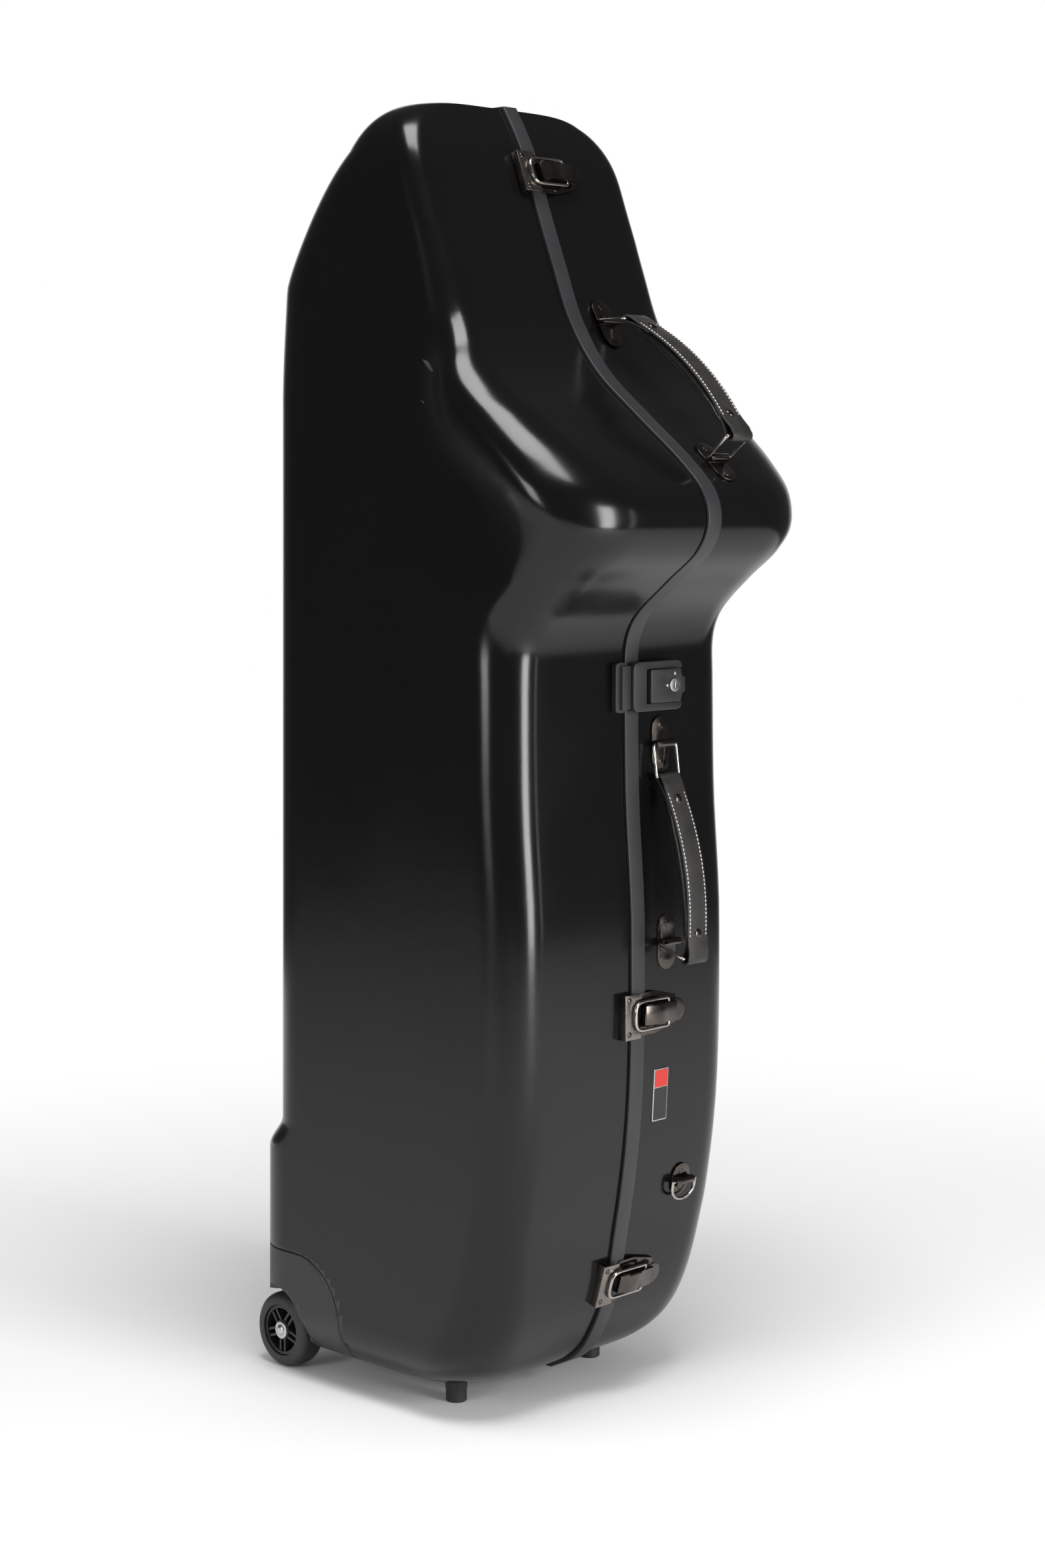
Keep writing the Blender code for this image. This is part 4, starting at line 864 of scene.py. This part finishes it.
strap_leather = surface("bridle_leather", (0.011, 0.0108, 0.0105), 0.40,
                        bumps=[("cells", 900, 0.25, 0.0003), ("noise", 160, 0.3, 0.0006)],
                        mottle=(45, (0.024, 0.022, 0.020)), smears=(80, 0.15))
pad_leather = surface("glossy_leather", (0.011, 0.0105, 0.010), 0.25,
                      bumps=[("cells", 700, 0.2, 0.0003), ("noise", 70, 0.35, 0.0012)], smears=(40, 0.12))
thread = surface("cream_thread", (0.74, 0.71, 0.64), 0.7, bumps=[("noise", 2500, 0.5, 0.0002)])
saddle = thread_tree()
for name in ("upper", "lower"):
    body, at = f"{name}_handle", handle_frame(name)
    strap = swept(strap_path(), STRAP_HALF, STRAP_PLY, at)
    fitted(place(f"{name}_stitched_strap", strap, strap_leather, 50), body, "leather", f"{body}_strap")
    chains = []
    for side in (-1, 1):
        across = side * (STRAP_HALF - STITCH_IN)
        shares = [STITCH_FROM + (1 - 2 * STITCH_FROM) * k / STITCH_STEPS for k in range(STITCH_STEPS + 1)]
        chains.append([at @ Vector((*bow(share, STRAP_PLY + STITCH_PROUD), across)) for share in shares])
    sewing = with_tree(line_object(f"{name}_strap_stitches", chains), saddle, Thread=thread)
    fitted(sewing, body, "leather")
    for end, share in (("top", RIVET_SHARE), ("bottom", 1 - RIVET_SHARE)):
        u, v = bow(share, STRAP_PLY)
        spot = at @ Matrix.Translation((u, v, 0)) @ Matrix.Rotation(-math.pi / 2, 4, "X")
        rivet = place(f"{name}_{end}_rivet", dome(RIVET_R, RIVET_H, spot), nickel, 60)
        fitted(rivet, body, "gunmetal")
    pad = place(f"{name}_padded_grip", grip(at), pad_leather, 60)
    fitted(pad, body, "leather", f"{body}_pad")

# Studio.
# A pale floor that keeps the shadow and fades to white, tall soft lamps that draw the
# long highlights, dark surroundings for the black gloss, and the photograph's viewpoint.
VIEW_AXIS = (0.7226, 0.6913, 0.0)


def light_path_mix(tree, mask):
    """Camera and transmission rays, and those glossy rays that the mask lets through."""
    rays = tree.nodes.new("ShaderNodeLightPath")
    shown = tree.nodes.new("ShaderNodeMath")
    shown.operation = "ADD"
    tree.links.new(rays.outputs["Is Camera Ray"], shown.inputs[0])
    tree.links.new(rays.outputs["Is Transmission Ray"], shown.inputs[1])
    seen = tree.nodes.new("ShaderNodeMath")
    seen.operation = "MULTIPLY_ADD"
    seen.use_clamp = True
    tree.links.new(rays.outputs["Is Glossy Ray"], seen.inputs[0])
    tree.links.new(mask, seen.inputs[1])
    tree.links.new(shown.outputs[0], seen.inputs[2])
    return seen.outputs[0], rays


def ramp(tree, value, low, high):
    node = tree.nodes.new("ShaderNodeMapRange")
    node.interpolation_type = "SMOOTHSTEP"
    node.inputs["From Min"].default_value = low
    node.inputs["From Max"].default_value = high
    tree.links.new(value, node.inputs["Value"])
    return node.outputs["Result"]


floor_paint = bpy.data.materials.new("pale_floor")
floor_paint.use_nodes = True
tree = floor_paint.node_tree
shader = tree.nodes["Principled BSDF"]
shader.inputs["Base Color"].default_value = (0.92, 0.92, 0.92, 1.0)
shader.inputs["Roughness"].default_value = 0.9
shader.inputs["Specular IOR Level"].default_value = 0.1
spot = tree.nodes.new("ShaderNodeTexCoord").outputs["Object"]
reach = tree.nodes.new("ShaderNodeVectorMath")
reach.operation = "LENGTH"
tree.links.new(spot, reach.inputs[0])
fade = ramp(tree, reach.outputs["Value"], 0.35, 1.5)
away = tree.nodes.new("ShaderNodeVectorMath")
away.operation = "DOT_PRODUCT"
away.inputs[1].default_value = VIEW_AXIS
tree.links.new(spot, away.inputs[0])
seen, _ = light_path_mix(tree, ramp(tree, away.outputs["Value"], 0.4, 1.4))
amount = tree.nodes.new("ShaderNodeMath")
amount.operation = "MULTIPLY"
tree.links.new(fade, amount.inputs[0])
tree.links.new(seen, amount.inputs[1])
white = tree.nodes.new("ShaderNodeEmission")
white.inputs["Strength"].default_value = 1.0
blend = tree.nodes.new("ShaderNodeMixShader")
tree.links.new(amount.outputs[0], blend.inputs[0])
tree.links.new(shader.outputs[0], blend.inputs[1])
tree.links.new(white.outputs[0], blend.inputs[2])
tree.links.new(blend.outputs[0], tree.nodes["Material Output"].inputs["Surface"])
bm = bmesh.new()
bmesh.ops.create_grid(bm, x_segments=1, y_segments=1, size=2.2)
floor = place("floor", bm, floor_paint, turn=False)

world = bpy.data.worlds.new("studio")
bpy.context.scene.world = world
world.use_nodes = True
tree = world.node_tree
background = tree.nodes["Background"]
behind = tree.nodes.new("ShaderNodeVectorMath")
behind.operation = "DOT_PRODUCT"
behind.inputs[1].default_value = VIEW_AXIS
tree.links.new(tree.nodes.new("ShaderNodeTexCoord").outputs["Generated"], behind.inputs[0])
seen, rays = light_path_mix(tree, ramp(tree, behind.outputs["Value"], 0.80, 0.98))
room = tree.nodes.new("ShaderNodeMix")
room.data_type = "RGBA"
room.inputs["A"].default_value = (0.35, 0.35, 0.35, 1.0)
room.inputs["B"].default_value = (0.09, 0.09, 0.09, 1.0)
tree.links.new(rays.outputs["Is Glossy Ray"], room.inputs["Factor"])
mix = tree.nodes.new("ShaderNodeMix")
mix.data_type = "RGBA"
mix.inputs["B"].default_value = (1.0, 1.0, 1.0, 1.0)
tree.links.new(room.outputs["Result"], mix.inputs["A"])
tree.links.new(seen, mix.inputs["Factor"])
tree.links.new(mix.outputs["Result"], background.inputs["Color"])
background.inputs["Strength"].default_value = 1.0


def softbox(name, spot, aim, width, height, power):
    light = bpy.data.lights.new(name, "AREA")
    light.shape, light.size, light.size_y, light.energy = "RECTANGLE", width, height, power
    lamp = bpy.data.objects.new(name, light)
    bpy.context.scene.collection.objects.link(lamp)
    lamp.location = spot
    lamp.rotation_euler = (Vector(aim) - Vector(spot)).to_track_quat("-Z", "Y").to_euler()
    return lamp


softbox("front_strip", (0.12, -2.55, 0.80), (0, 0, 0.70), 0.70, 1.5, 54)
softbox("right_strip", (1.38, -2.15, 0.75), (0, 0, 0.70), 0.10, 1.3, 2.0)
softbox("left_box", (-2.50, 0.15, 0.90), (0, 0, 0.80), 0.70, 1.0, 18)
softbox("top_box", (-0.50, -0.60, 3.00), (0, 0, 0.60), 1.2, 1.2, 54)

lens = bpy.data.cameras.new("view")
camera = bpy.data.objects.new("view", lens)
bpy.context.scene.collection.objects.link(camera)
camera.location = (-1.86093, -1.77662, 0.82449)
camera.rotation_euler = (math.pi / 2, 0.0, -0.8076)
lens.sensor_fit, lens.sensor_width, lens.sensor_height = "AUTO", 36.0, 36.0
lens.lens = 36.0 * 4200 / 2352
lens.shift_y = -456 / 2352
bpy.context.scene.camera = camera
bpy.context.scene.view_settings.view_transform = "Standard"
